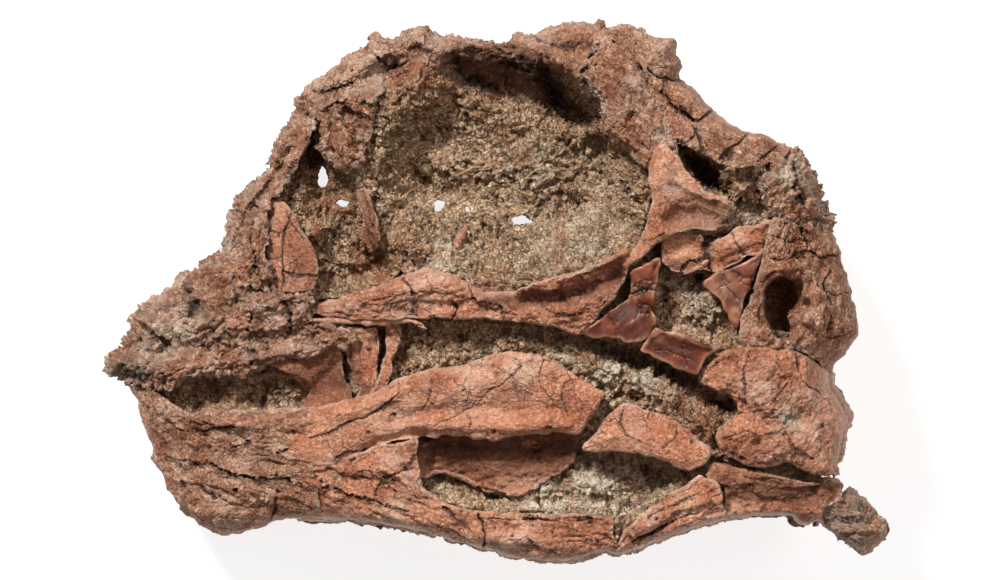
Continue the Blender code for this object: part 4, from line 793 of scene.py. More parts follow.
# Heights in mm of swells, creases, flakes, lumps, fibres, grit and cracks
ROUGH = (0.16, 0.24, 0.1, 0.3, 0.06, 0.18, 0.0)        # flaky granular bone
CRUSTED = (0.14, 0.17, 0.07, 0.17, 0.05, 0.12, 0.06)   # cracked bone with a thin crust
FIRM = (0.1, 0.15, 0.05, 0.11, 0.05, 0.09, 0.07)       # firm bone with cracks
CHIPPED = (0.1, 0.12, 0.05, 0.15, 0.06, 0.12, 0.06)    # firm bone with a flaked face
COARSE = 0.16           # mm, lumps from which on a bone's walls are as rough as its face
WALL_ROUGH, WALL_EVEN = 0.95, 0.2   # share of the wear that rough and even walls carry
EDGE_NOISE = 0.09       # mm that a bone's outline wanders
WALL_LEAN = 0.3         # mm that a wall draws in towards its foot
LEAST = 0.4             # mm of bone that any mark leaves above the bed
TABLE_GAP = 0.02        # mm between the fossil and the table


def bone(name, node, outline, seed, lift, drop, radius, finish, wear, marks=(), spots=(), dents=(),
         reach="left", slant=0.0, spacing=0.056, holes=(), depth=0.0, spread=0.0, crusts=()):
    """One bone. Its outer face stands lift above the head's surface and falls by drop at its rim,
    over radius. It reaches through the head, or lies on the sandstone of its left or right side, or
    inside a hollow with its outer face depth above the bed there."""
    lines = [ragged(smooth_line(outline, spans=8), EDGE_NOISE, seed, spread)]
    lines += [smooth_line(hole, spans=6) for hole in holes]

    def faces(x, y, rim):
        half = read_map(HALF_MAP, x, y)
        sunk = read_map(HOLLOW_MAP, x, y)
        bed = np.maximum(half - BED - sunk, 0.4)
        outer = half + lift - drop * (1 - quarter_round(rim / radius))
        if reach == "deep":
            outer = bed + depth - drop * (1 - quarter_round(rim / radius))
        if reach == "through":
            outer = outer - sunk
        for ring, fall, wall in dents:
            ring = smooth_line(ring)
            into = near_line(x, y, ring, True)[0] * within(x, y, [ring])
            outer = outer - fall * smooth_step(0, wall, into)
        plain = np.maximum(outer, 0.5)
        marked = np.maximum(outer + carve(x, y, marks, seed)[0], 0.5)
        if reach == "through":
            return middle(x) - plain, middle(x) + marked
        if reach == "right":
            return middle(x) - np.maximum(plain, bed + 0.5), middle(x) - bed + SAND_FALL
        return middle(x) + bed - SAND_FALL, middle(x) + np.maximum(marked, bed + LEAST)

    points, quads, rim = slab(lines, spacing, faces, max(0.14, 2 * spacing), [HEAD])
    normals = point_normals(points, quads)
    # Painted shade of the marks' cracks and shade patches, weaker on walls that face down.
    dark = carve(points[:, 0], points[:, 1], marks, seed)[1] * smooth_step(-0.2, 0.5, normals[:, 2])
    push, dark, pale = bone_skin(points, rim, dark, wear, spots, slant)
    level = np.abs(normals[:, 2])
    wall = WALL_ROUGH if wear[3] > COARSE else WALL_EVEN
    push = push * (wall + (1 - wall) * smooth_step(0.2, 0.7, level))
    if reach == "right":
        push = push - WALL_LEAN
    else:
        x, y, z = points.T
        below = middle(x) + read_map(HALF_MAP, x, y) + lift - z
        push = push - WALL_LEAN * smooth_step(0.2, 2.5, below) * smooth_step(0.6, 0.2, level)
    points = points + normals * push[:, None]
    points[:, 2] = np.maximum(points[:, 2], TABLE_GAP)
    grey = bells(points, crusts) * (1 + 0.8 * waves(points, 0.5, 2, 59))
    piece = build(name, points, quads, {"dark": dark, "pale": pale, "grey": grey}, finish)
    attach(piece, "root")
    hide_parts(node)


bone("beak", "premaxilla", [
    (-20.2, -3.8), (-18.6, -0.8), (-16.6, 1.2), (-15.0, 2.1), (-14.5, 1.7), (-13.6, 0.9),
    (-13.2, 0.2), (-13.3, -1.5), (-13.6, -3.0), (-14.2, -4.0), (-15.0, -4.25), (-15.7, -4.6),
    (-16.5, -5.0), (-17.5, -4.9), (-18.35, -4.6), (-19.2, -4.6)], 301, 0.0, 0.06, 0.2,
    WEATHERED, ROUGH,
    marks=[("soft", [(-18.35, -2.85)], 0.45, -0.5), ("soft", [(-15.2, -0.9)], 0.5, -0.35),
           ("soft", [(-17.6, -2.2), (-16.4, -1.6), (-15.0, -1.7)], 0.6, 0.3),
           ("soft", [(-17.8, -3.9), (-16.4, -4.2), (-15.2, -3.7)], 0.5, 0.35),
           ("soft", [(-16.8, -3.1), (-15.6, -2.9), (-14.4, -3.1)], 0.35, -0.35),
           ("soft", [(-15.4, 0.2), (-14.4, -0.6), (-13.8, -2.0)], 0.4, 0.25),
           ("soft", [(-19.0, -3.8)], 0.6, 0.3),
           ("crack", [(-17.9, -1.6), (-16.9, -2.4), (-16.2, -3.4)], 0.043, 0.16),
           ("crack", [(-15.9, 0.6), (-15.3, -0.6), (-15.5, -1.8)], 0.037, 0.16)],
    spots=[((-16.2, -2.2), 1.8, 0.6), ((-17.4, -3.2), 1.2, 0.55), ((-14.4, -1.6), 1.0, 0.3)],
    crusts=[((-18.8, -3.9), 0.6, 1.0), ((-17.8, -4.3), 0.5, 0.8), ((-15.1, -0.9), 0.45, 0.9)],
    reach="through", spread=0.1, slant=0.6)
bone("snout_roof", "nasal", [
    (-15.2, 2.1), (-14.4, 3.6), (-13.8, 5.4), (-12.2, 7.6), (-11.2, 9.4), (-9.8, 9.3),
    (-9.05, 8.7), (-9.5, 7.2), (-10.4, 5.6), (-11.2, 4.6), (-11.55, 3.9), (-11.35, 3.0),
    (-11.5, 1.9), (-11.35, 0.9), (-11.2, 0.05), (-12.2, 0.3), (-13.2, 0.2), (-13.6, 0.9),
    (-14.5, 1.7)], 321, 0.0, 0.06, 0.2, WEATHERED, ROUGH,
    marks=[("soft", [(-14.0, 1.4), (-12.9, 2.6), (-12.4, 4.2), (-11.2, 6.2), (-10.2, 8.2)],
            0.35, 0.3),
           ("soft", [(-13.0, 0.9), (-12.2, 2.0), (-11.9, 3.4)], 0.3, 0.25),
           ("soft", [(-12.9, 2.0), (-12.6, 3.4), (-11.4, 5.2), (-10.5, 6.8)], 0.25, -0.35),
           ("crack", [(-12.3, 0.6), (-12.0, 1.6), (-12.3, 2.6), (-12.0, 3.9)], 0.05, 0.24),
           ("crack", [(-13.2, 2.3), (-12.9, 3.3), (-12.2, 4.4)], 0.037, 0.2),
           ("soft", [(-11.3, 0.15)], 0.3, -0.8)],
    spots=[((-13.4, 2.4), 0.9, 0.4), ((-12.0, 4.6), 0.8, 0.3), ((-10.6, 8.0), 0.8, 0.35)],
    reach="through", spread=0.1, slant=1.1)
bone("brow", "frontal", [
    (-11.2, 9.4), (-9.4, 11.6), (-6.8, 13.4), (-3.4, 14.4), (0.0, 13.6), (4.0, 14.4),
    (7.3, 14.0), (7.1, 12.3), (5.6, 12.4), (4.6, 11.6), (4.2, 10.7), (4.9, 9.6), (4.6, 9.1),
    (3.6, 8.7), (2.4, 9.0), (0.6, 9.5), (-1.2, 9.9), (-2.8, 10.4), (-4.6, 10.6), (-6.2, 9.5),
    (-7.4, 9.6), (-8.4, 9.3), (-9.05, 8.7), (-9.8, 9.3)], 341, 0.0, 0.06, 0.2, WEATHERED, CRUSTED,
    marks=[("soft", [(-1.4, 12.25), (0.3, 12.4), (1.5, 12.2), (2.8, 11.7), (3.7, 11.0)], 0.22, 0.35),
           ("soft", [(-9.6, 9.6), (-8.0, 10.6), (-6.0, 11.6), (-3.9, 12.6)], 0.5, 0.35),
           ("soft", [(-8.2, 9.7), (-6.6, 10.4), (-5.2, 11.2)], 0.3, -0.35),
           ("soft", [(-3.85, 11.75)], 0.4, -0.6),
           ("crack", [(-6.2, 12.0), (-5.4, 11.2), (-4.6, 10.8), (-3.6, 10.6)], 0.05, 0.24),
           ("crack", [(-9.2, 10.0), (-8.2, 9.9), (-7.2, 10.3)], 0.043, 0.2),
           ("crack", [(0.0, 12.3), (0.6, 11.4), (0.5, 10.4), (1.0, 9.5)], 0.037, 0.16),
           ("crack", [(-2.2, 12.0), (-1.8, 11.0), (-0.6, 10.2), (0.5, 10.0)], 0.037, 0.16),
           ("soft", [(-4.8, 10.7), (-2.8, 10.3), (-1.2, 9.8), (0.6, 9.4), (2.4, 8.9), (3.6, 8.6),
                     (4.6, 9.0)], 1.1, -1.8),
           # The three dark bands below are painted shade under the overhanging roof of the eye socket,
           # darkest at the right.
           ("shade_patch", [(-4.4, 10.4), (-2.6, 10.0), (-1.0, 9.7), (0.6, 9.3), (2.4, 8.8)], 0.7, 0.6),
           ("shade_patch", [(-1.4, 11.4), (0.8, 10.9), (2.8, 10.0), (4.6, 9.0)], 1.3, 0.62),
           ("shade_patch", [(1.6, 11.2), (2.2, 10.2), (3.2, 9.0)], 0.8, 0.9),
           ("crack", [(0.6, 11.6), (2.0, 11.2), (3.2, 10.5), (4.2, 9.7)], 0.06, 0.15),
           ("crack", [(0.2, 11.2), (1.6, 10.8), (3.0, 9.9), (4.0, 9.1)], 0.06, 0.15),
           ("crack", [(1.9, 12.7), (3.4, 12.3), (4.8, 12.6)], 0.037, 0.16)],
    spots=[((-6.4, 11.4), 2.0, 0.45), ((-3.2, 12.6), 1.4, 0.5), ((-8.6, 9.9), 1.0, 0.35),
           ((1.8, 12.7), 1.0, 0.3)], reach="through", spread=0.1, slant=0.5)
bone("rear_roof", "parietal", [
    (7.3, 14.0), (9.4, 13.6), (10.4, 10.8), (13.2, 8.9), (15.4, 8.3), (14.6, 7.2),
    (14.2, 6.6), (13.2, 6.2), (12.4, 5.9), (11.3, 6.3), (10.5, 6.6), (9.5, 7.3), (8.9, 7.4),
    (8.4, 8.2), (8.1, 9.2), (7.7, 10.2), (7.3, 11.2), (7.1, 12.3)], 361, -0.1, 0.06, 0.2,
    WEATHERED, FIRM,
    marks=[("crack", [(7.6, 11.0), (8.4, 10.5), (9.4, 10.6)], 0.062, 0.28),
           ("crack", [(9.2, 8.85), (9.6, 8.75), (10.1, 8.45), (10.9, 8.95)], 0.099, 0.4),
           ("crack", [(8.3, 9.8), (8.9, 9.1), (9.3, 8.9)], 0.056, 0.32),
           ("crack", [(9.5, 8.5), (10.0, 7.9), (9.6, 7.4), (9.0, 7.35)], 0.056, 0.32),
           ("crack", [(10.0, 8.0), (10.15, 7.4), (10.5, 6.7)], 0.056, 0.28),
           ("crack", [(11.2, 6.5), (11.9, 7.1), (12.5, 7.6), (12.9, 8.0)], 0.062, 0.32),
           ("crack", [(12.5, 5.9), (13.2, 6.6), (14.3, 7.3)], 0.05, 0.28),
           ("crack", [(10.4, 8.1), (11.2, 7.7), (11.9, 7.5)], 0.031, 0.12),
           ("soft", [(7.0, 12.9), (8.6, 12.2), (9.0, 10.9)], 0.7, 0.35),
           ("soft", [(9.8, 8.65)], 0.35, -0.5)],
    spots=[((8.4, 12.0), 0.8, 0.25)], reach="through", spread=0.1, slant=-0.7)
bone("occiput", "supraoccipital", [
    (15.4, 8.3), (17.0, 7.6), (17.9, 4.2), (17.9, 3.0), (15.6, 3.1), (14.2, 3.5), (13.5, 4.2),
    (13.3, 5.2), (13.8, 6.1), (14.2, 6.6), (14.6, 7.2)], 381, -0.15, 0.06, 0.2, WEATHERED, ROUGH,
    marks=[("soft", [(14.4, 5.6), (15.2, 5.2)], 0.5, 0.35), ("soft", [(15.6, 6.2)], 0.5, 0.3),
           ("soft", [(14.9, 4.2)], 0.4, -0.3), ("soft", [(15.9, 4.6)], 0.45, 0.3),
           ("crack", [(14.4, 6.8), (15.0, 6.0), (14.9, 4.9), (15.6, 4.0)], 0.05, 0.24)],
    spots=[((14.5, 6.0), 0.9, 0.7), ((16.1, 5.2), 0.8, 0.5), ((16.3, 4.2), 0.6, 0.5)],
    reach="through", spread=0.1, slant=0.8)
EAR = [(14.3, 0.8), (14.7, 0.65), (15.1, 0.75), (15.45, 0.3), (15.5, -0.3), (15.8, -0.8),
       (15.4, -1.4), (15.5, -1.9), (14.9, -2.5), (14.3, -2.6), (13.8, -2.3), (13.6, -1.7),
       (13.3, -1.3), (13.4, -0.6), (13.3, 0.0), (13.7, 0.5)]
bone("braincase_wall", "braincase", [
    (13.75, 3.4), (14.2, 3.5), (15.6, 3.1), (17.9, 3.0), (19.0, 0.0), (19.2, -2.1),
    (17.9, -4.0), (16.6, -4.0), (15.9, -3.4), (14.8, -2.9), (13.5, -2.7), (12.4, -2.6),
    (12.2, -2.0), (12.6, -0.9), (13.0, 0.2), (13.3, 1.4), (13.55, 2.4)], 401, -0.15, 0.06, 0.2,
    WEATHERED, FIRM,
    marks=[("soft", [(15.3, -0.2), (15.2, -1.0), (15.4, -1.6)], 0.2, 0.4),
           ("soft", [(13.5, 0.9), (14.5, 1.2), (15.7, 0.8), (16.2, -0.6), (15.9, -2.2)], 0.35, 0.3),
           ("soft", [(13.0, -0.8), (13.2, -2.2)], 0.25, 0.3),
           ("crack", [(13.6, 1.6), (14.4, 1.5), (15.4, 1.9), (16.3, 1.6), (17.3, 1.9)], 0.05, 0.28),
           ("crack", [(15.2, 2.9), (15.5, 2.1), (15.1, 1.6)], 0.05, 0.28),
           ("crack", [(16.7, 0.9), (16.3, 0.2), (16.7, -0.9), (16.5, -2.0)], 0.05, 0.28),
           ("crack", [(16.0, 0.3), (16.7, -0.2), (17.6, -0.2)], 0.037, 0.2),
           ("crack", [(15.9, -2.2), (16.9, -2.4), (17.8, -2.1)], 0.037, 0.2),
           ("crack", [(13.7, 2.7), (14.5, 2.4), (15.4, 2.4)], 0.037, 0.2)],
    dents=[(EAR, 1.5, 0.5), ([(13.4, 0.3), (14.1, 0.7), (14.8, 0.4), (15.0, -0.5), (14.6, -1.3),
                              (14.7, -2.0), (14.1, -2.5), (13.5, -1.8), (13.2, -0.6)], 2.8, 0.6)],
    reach="through", spread=0.1, slant=1.2)
bone("chin", "dentary", [
    (-18.8, -5.2), (-17.6, -5.0), (-16.6, -5.5), (-15.2, -6.25), (-14.5, -5.95), (-13.1, -6.1),
    (-11.7, -6.1), (-10.0, -6.0), (-8.9, -6.0), (-8.9, -6.7), (-9.3, -7.4), (-9.0, -8.4),
    (-9.2, -9.0), (-8.8, -10.4), (-8.9, -11.2), (-8.8, -12.4), (-11.0, -12.6), (-13.6, -13.0),
    (-16.0, -12.2), (-17.8, -10.0), (-18.4, -7.6)], 421, 0.0, 0.06, 0.2, WEATHERED, FIRM,
    marks=[("crack", [(-10.9, -8.1), (-9.9, -7.7), (-8.8, -7.1)], 0.056, 0.32),
           ("crack", [(-13.2, -7.95), (-12.6, -7.75), (-12.1, -7.4)], 0.05, 0.24),
           ("crack", [(-14.2, -8.75), (-13.1, -9.25), (-12.0, -9.4), (-10.7, -9.5), (-9.6, -9.6)],
            0.062, 0.32),
           ("crack", [(-10.95, -10.4), (-11.05, -11.0), (-11.25, -11.6)], 0.05, 0.28),
           ("crack", [(-9.4, -10.6), (-9.1, -11.2)], 0.043, 0.24),
           ("crack", [(-15.8, -9.6), (-14.7, -9.9), (-14.0, -10.5)], 0.05, 0.24),
           ("crack", [(-17.0, -8.3), (-15.6, -8.6), (-14.2, -8.7)], 0.037, 0.16),
           ("crack", [(-16.6, -6.6), (-15.2, -7.1), (-13.6, -6.9), (-12.0, -6.9)], 0.037, 0.16),
           ("soft", [(-16.9, -6.2), (-14.6, -6.6), (-12.0, -6.7), (-9.6, -6.7)], 0.4, 0.3),
           ("soft", [(-16.2, -7.6), (-13.4, -8.3), (-10.6, -8.9)], 0.5, -0.25),
           ("soft", [(-15.4, -10.9), (-13.4, -11.5), (-11.6, -11.3)], 0.5, 0.25)],
    spots=[((-16.6, -5.9), 0.8, 0.3), ((-12.6, -8.7), 1.2, 0.25), ((-13.5, -11.2), 1.0, 0.2)],
    reach="through", spread=0.1, slant=-0.25)
bone("rear_lump", "rear_block", [
    (16.3, -11.0), (16.9, -10.4), (17.9, -9.7), (19.3, -10.8), (20.2, -11.7), (19.7, -12.8),
    (18.5, -13.8), (17.4, -12.9), (16.3, -11.9)], 441, -0.8, 0.9, 0.9, WEATHERED, CHIPPED,
    spots=[((18.4, -12.8), 0.7, 0.8), ((19.2, -11.9), 0.7, 0.7), ((17.6, -11.4), 1.2, 0.4)],
    crusts=[((17.6, -11.2), 1.2, 0.6)])

# The sound bones of the cheek, the temple, the palate and the back of the jaw.
# Dense bone turned to a brown-red mineral. Its outer layer is whole, so it is smooth with a dull
# shine, has fine fibres along its length, and is broken only by dark cracks.


def sound_bone():
    """Brown-red mineral with orange and dusty pink areas and a low gloss, in bent plates parted by
    thin seams filled with painted shade, with the same painted shade in cracks, crevices and low
    places."""
    made, tree, at = blank_finish("fossil bone")
    broad = add(tree, "TexNoise", {"Vector": at, "Scale": 1 / (3.2 * MM), "Detail": 5.0,
                                   "Roughness": 0.6, "Distortion": 0.4})
    base = add(tree, "ValToRGB", {"Fac": broad.outputs["Fac"]},
               stops=((0.28, "#8E4C2F"), (0.44, "#BF7852"), (0.58, "#D69A78"), (0.74, "#F0CCB4")))
    fleck = add(tree, "TexNoise", {"Vector": at, "Scale": 1 / (0.18 * MM), "Detail": 4.0,
                                   "Roughness": 0.78})
    flecks = add(tree, "ValToRGB", {"Fac": fleck.outputs["Fac"]},
                 stops=((0.38, "#43200F"), (0.47, "#B4704D"), (0.55, "#D9A385"), (0.64, "#FFEEE0")))
    grain = add(tree, "Mix", {"Factor": 0.38, "A": base.outputs["Color"], "B": flecks.outputs["Color"]},
                data_type="RGBA")
    seams, own = flake_seams(tree, at, 1.0)
    shade = add(tree, "ValToRGB", {"Fac": own}, stops=((0.1, "#CDB2A0"), (0.9, "#FFFFFF")))
    plates = add(tree, "Mix", {"Factor": 0.6, "A": grain.outputs[2], "B": shade.outputs["Color"]},
                 data_type="RGBA", blend_type="MULTIPLY")
    # The pale film carries pale bone, wear and the painted rim highlight; the dark film is painted
    # shade.
    colour = films(tree, plates.outputs[2], seams,
                   (("pale", "#E8CBB8"), ("grey", "#B5A796"), ("dark", "#3A1A0D")))
    fine = add(tree, "TexNoise", {"Vector": at, "Scale": 1 / (0.16 * MM), "Detail": 3.0,
                                  "Roughness": 0.7})
    bump = add(tree, "Bump", {"Strength": 1.0, "Distance": 0.26 * MM, "Height": fine.outputs["Fac"]})
    split = add(tree, "Bump", {"Strength": 1.0, "Distance": 0.05 * MM, "Height": seams,
                               "Normal": bump.outputs["Normal"]}, invert=True)
    shader = add(tree, "BsdfPrincipled", {"Base Color": colour, "Roughness": 0.5,
                                          "Specular IOR Level": 0.5,
                                          "Normal": split.outputs["Normal"]})
    add(tree, "OutputMaterial", {"Surface": shader.outputs["BSDF"]})
    return made


SOUND = sound_bone()
SHELL = (0.06, 0.04, 0.015, 0.03, 0.03, 0.035, 0.05)   # smooth outer layer of a bone
FIBROUS = (0.08, 0.08, 0.04, 0.05, 0.04, 0.06, 0.08)   # thin bone with fine fibres and cracks
KNOBBY = (0.1, 0.05, 0.03, 0.15, 0.03, 0.13, 0.04)     # spongy end of a joint
MAXILLA = [
    (-13.3, 0.2), (-12.2, 0.3), (-11.2, 0.0), (-10.0, -0.05), (-9.0, 0.05), (-8.85, -0.5),
    (-9.1, -1.2), (-8.2, -1.7), (-7.1, -2.0), (-6.7, -2.5), (-7.6, -2.9), (-9.0, -3.3),
    (-10.5, -3.6), (-11.0, -3.75), (-11.85, -4.1), (-12.7, -4.4), (-13.5, -4.25),
    (-14.2, -4.0), (-13.7, -3.0), (-13.4, -1.5)]
bone("upper_jaw", "maxilla_left", MAXILLA, 501, -0.05, 0.25, 0.4, WEATHERED, ROUGH,
     marks=[("soft", [(-12.1, -1.0), (-10.2, -0.4), (-9.4, -0.9), (-10.4, -1.5), (-11.8, -1.7)],
             0.4, 0.3),
            ("soft", [(-12.5, -2.6), (-10.8, -2.6), (-9.0, -2.4)], 0.4, -0.35),
            ("soft", [(-13.0, -3.6), (-11.4, -3.3), (-9.8, -3.1)], 0.35, 0.25),
            ("crack", [(-12.3, -0.6), (-12.2, -1.2), (-12.4, -1.9)], 0.099, 0.4),
            ("crack", [(-10.6, -0.6), (-10.2, -1.6), (-10.5, -2.6)], 0.043, 0.24),
            ("crack", [(-13.0, -2.8), (-11.8, -3.1), (-11.2, -2.6)], 0.037, 0.2)],
     spots=[((-12.2, -3.3), 0.9, 0.35), ((-10.9, -1.0), 1.6, 0.35), ((-9.8, -2.6), 1.2, 0.3)],
     slant=0.3)
RAMUS = [
    (-11.45, 4.4), (-10.9, 4.45), (-10.3, 4.2), (-9.9, 3.5), (-9.3, 2.5), (-8.95, 2.0),
    (-8.8, 1.2), (-8.85, 0.4), (-9.1, -0.05), (-10.0, -0.1), (-11.3, -0.05), (-11.35, 0.9),
    (-11.5, 1.9), (-11.35, 3.0)]
bone("snout_plates", "maxilla_ramus_left", RAMUS, 521, -0.6, 0.06, 0.12, SOUND, SHELL,
     marks=[("crack", [(-10.15, 3.9), (-10.55, 2.6), (-10.6, 1.4), (-10.65, 0.0)], 0.055, 0.24),
            ("crack", [(-11.4, 3.05), (-10.8, 2.9), (-10.3, 3.1)], 0.05, 0.2),
            ("crack", [(-10.6, 0.95), (-9.7, 0.75), (-8.8, 0.7)], 0.055, 0.24),
            ("crack", [(-10.5, 3.9), (-9.9, 2.9), (-9.6, 2.5)], 0.04, 0.2),
            ("crack", [(-11.3, 1.55), (-10.7, 1.7)], 0.045, 0.16),
            # The two dark bands below are painted shade along the plate's left edge and over its right
            # part.
            ("shade_patch", [(-11.35, 4.0), (-11.4, 2.0), (-11.25, 0.2)], 0.35, 0.6),
            ("shade_patch", [(-9.9, 3.4), (-9.6, 1.7), (-9.6, 0.3)], 1.2, 0.35),
            ("soft", [(-9.8, 1.8)], 0.7, 0.15), ("soft", [(-11.15, 0.2)], 0.3, -0.7)], slant=1.3)
LACRIMAL = [
    (-9.05, 8.8), (-8.4, 9.6), (-7.4, 9.9), (-6.0, 9.8), (-6.1, 8.4), (-6.4, 7.2), (-7.0, 6.0),
    (-7.7, 6.1), (-8.4, 6.9), (-8.8, 8.0)]
bone("tear_bone", "lacrimal_left", LACRIMAL, 541, -0.1, 0.4, 0.6, WEATHERED, ROUGH,
     marks=[("soft", [(-8.6, 8.6), (-8.2, 7.2), (-7.4, 6.2)], 0.25, 0.3),
            ("soft", [(-7.3, 8.9)], 0.3, -0.6), ("soft", [(-6.6, 8.4), (-6.8, 7.2)], 0.4, -0.5)],
     spread=0.12, slant=-1.0)
POSTORBITAL = [
    (5.6, 12.4), (7.1, 12.3), (7.3, 11.2), (7.7, 10.2), (8.1, 9.2), (8.4, 8.2), (8.7, 7.5),
    (9.2, 6.7), (9.5, 5.9), (10.3, 5.1), (10.9, 4.75), (11.6, 4.6), (11.7, 4.0), (11.4, 3.4),
    (10.8, 2.9), (9.6, 2.95), (8.5, 2.6), (7.4, 1.7), (6.7, 1.25), (6.5, 1.7), (7.1, 2.4),
    (7.6, 3.8), (7.75, 5.2), (7.4, 6.2), (6.4, 6.9), (5.5, 7.8), (5.5, 8.6), (4.9, 9.6),
    (4.2, 10.7), (4.6, 11.6)]
bone("eye_socket_rim", "postorbital_left", [
    (5.6, 12.6), (7.2, 12.4), (7.4, 11.2), (7.8, 10.2), (8.2, 9.2), (8.6, 8.2), (9.0, 7.4),
    (9.1, 6.8), (8.5, 6.2), (7.9, 5.6), (7.6, 6.0), (6.4, 6.9), (5.5, 7.8), (5.5, 8.6),
    (4.9, 9.6), (4.2, 10.7), (4.6, 11.6)], 571, 0.0, 0.25, 0.35, WEATHERED, CRUSTED,
    marks=[("soft", [(4.6, 11.2), (5.2, 10.0), (5.8, 9.0), (6.2, 8.2)], 0.25, 0.25),
           ("soft", [(6.2, 11.9), (6.6, 10.4), (7.2, 8.9), (7.9, 7.4)], 0.6, 0.4),
           ("soft", [(5.9, 7.4), (6.8, 6.8)], 0.35, -0.5),
           ("soft", [(6.7, 8.5)], 0.2, -0.4), ("soft", [(7.3, 9.3)], 0.4, -0.25)],
    spots=[((6.9, 10.2), 1.0, 0.3), ((8.3, 7.6), 0.6, 0.5)], slant=-1.0)
bone("eye_socket_plate", "postorbital_left", [
    (8.3, 7.5), (8.8, 6.9), (9.2, 6.5), (9.5, 5.9), (10.3, 5.1), (10.9, 4.75), (11.6, 4.6),
    (11.7, 4.0), (11.4, 3.4), (10.8, 2.9), (9.6, 2.95), (8.5, 2.6), (7.4, 1.7), (6.7, 1.25),
    (6.5, 1.7), (7.1, 2.4), (7.5, 3.4), (7.75, 4.4), (7.65, 5.5), (7.75, 6.6)],
    561, 0.2, 0.2, 0.25, SOUND, SHELL,
    marks=[("soft", [(9.0, 3.6), (10.0, 3.7), (11.1, 3.3)], 0.6, -0.7),
           # The dark band below is painted shade in the groove.
           ("shade_patch", [(9.0, 3.5), (10.0, 3.6), (11.1, 3.3)], 0.7, 0.5),
           ("soft", [(8.5, 6.2), (9.2, 5.2), (10.2, 4.7), (11.4, 4.3)], 0.2, 0.3),
           ("soft", [(7.9, 5.2), (8.1, 3.8), (8.3, 2.9)], 0.3, 0.25),
           ("soft", [(8.2, 6.6), (8.5, 5.6)], 0.5, 0.3),
           ("crack", [(7.3, 2.5), (7.9, 2.5), (8.4, 2.8)], 0.031, 0.16)],
    spots=[((8.8, 5.4), 0.9, 0.3)], slant=-1.1)
SQUAMOSAL = [
    (8.3, 2.25), (8.5, 2.6), (9.1, 2.85), (10.2, 2.75), (10.6, 2.45), (11.2, 2.65), (12.2, 3.15),
    (13.1, 3.3), (13.75, 3.4), (13.7, 2.7), (13.4, 1.85), (12.6, 1.7), (12.0, 1.35),
    (11.3, 0.85), (10.7, 0.95), (10.1, 1.05), (9.3, 0.9), (8.7, 1.05), (8.35, 1.5)]
bone("temple_bar", "squamosal_left", SQUAMOSAL, 581, -0.6, 0.06, 0.12, SOUND, FIBROUS,
     marks=[("crack", [(10.5, 2.6), (10.45, 1.8), (10.75, 1.0)], 0.09, 0.4),
            ("soft", [(11.2, 1.9), (12.2, 2.35), (13.2, 2.6)], 0.3, 0.3),
            ("soft", [(8.8, 1.7), (9.6, 2.0), (10.3, 1.9)], 0.45, -0.25),
            ("crack", [(9.3, 0.95), (9.8, 1.4), (10.4, 1.5)], 0.06, 0.3),
            ("crack", [(11.8, 2.9), (12.0, 2.2), (12.5, 1.7)], 0.037, 0.2),
            # The dark band below is painted shade along the lower edge.
            ("shade_patch", [(8.5, 1.2), (9.4, 1.2), (10.4, 1.2)], 0.35, 0.5)],
     spots=[((12.0, 2.6), 0.5, 0.3)], slant=0.4)
JUGAL = [
    (-9.9, -1.1), (-9.2, -0.8), (-8.4, -0.5), (-7.4, -0.2), (-6.2, 0.1), (-5.5, 0.35), (-4.7, 0.75),
    (-3.9, 1.05), (-3.2, 1.1), (-2.3, 0.85), (-1.6, 0.5), (-0.7, 0.05), (0.5, -0.05),
    (1.8, 0.3), (3.0, 0.6), (4.0, 0.95), (5.5, 1.55), (6.4, 2.2), (6.75, 1.9), (6.7, 1.3),
    (6.6, 0.9), (6.3, 0.2), (5.9, -0.5), (5.3, -1.1), (4.6, -1.8), (4.2, -2.2), (3.0, -1.9),
    (1.3, -1.6), (-0.1, -1.5), (-2.0, -1.45), (-3.85, -1.5), (-5.7, -1.6), (-7.4, -1.5),
    (-8.8, -1.35), (-9.6, -1.3)]
bone("cheek_bone", "jugal_left", JUGAL, 601, 0.2, 0.35, 0.3, SOUND, CHIPPED,
     marks=[("soft", [(-9.6, -1.0), (-8.6, -0.9)], 1.3, -0.8),
            ("soft", [(1.2, 0.0), (2.4, 0.4), (4.0, 0.75), (5.4, 1.3), (6.4, 1.9)], 0.22, 0.35),
            ("soft", [(1.6, -0.55), (3.2, -0.35), (4.8, 0.15), (5.9, 0.75)], 0.38, -0.8),
            # The dark band below is painted shade in the recess along the bone's rear part.
            ("shade_patch", [(-0.4, -0.6), (1.6, -0.5), (3.2, -0.3), (4.8, 0.1), (5.9, 0.7)], 0.5, 0.65),
            ("soft", [(-8.6, -1.0), (-6.4, -0.6), (-4.4, -0.1), (-2.6, 0.2)], 0.5, 0.3),
            ("soft", [(-4.6, -1.1), (-2.2, -0.8), (0.2, -1.0)], 0.35, -0.3),
            ("soft", [(-0.6, -0.6), (1.6, -1.1), (3.6, -1.4)], 0.35, 0.25),
            ("crack", [(-2.0, -0.7), (-1.95, -1.1), (-2.1, -1.5)], 0.062, 0.32),
            ("crack", [(-4.6, 0.6), (-4.0, -0.2), (-4.2, -1.2)], 0.043, 0.24),
            ("crack", [(-1.3, 0.3), (-0.9, -0.5), (0.2, -0.8), (0.4, -1.5)], 0.043, 0.24),
            ("crack", [(2.6, -0.9), (3.4, -1.2), (4.3, -1.2)], 0.043, 0.24)],
     spots=[((-3.4, 0.5), 1.2, 0.3), ((-7.6, -0.8), 0.9, 0.25)], slant=0.12)
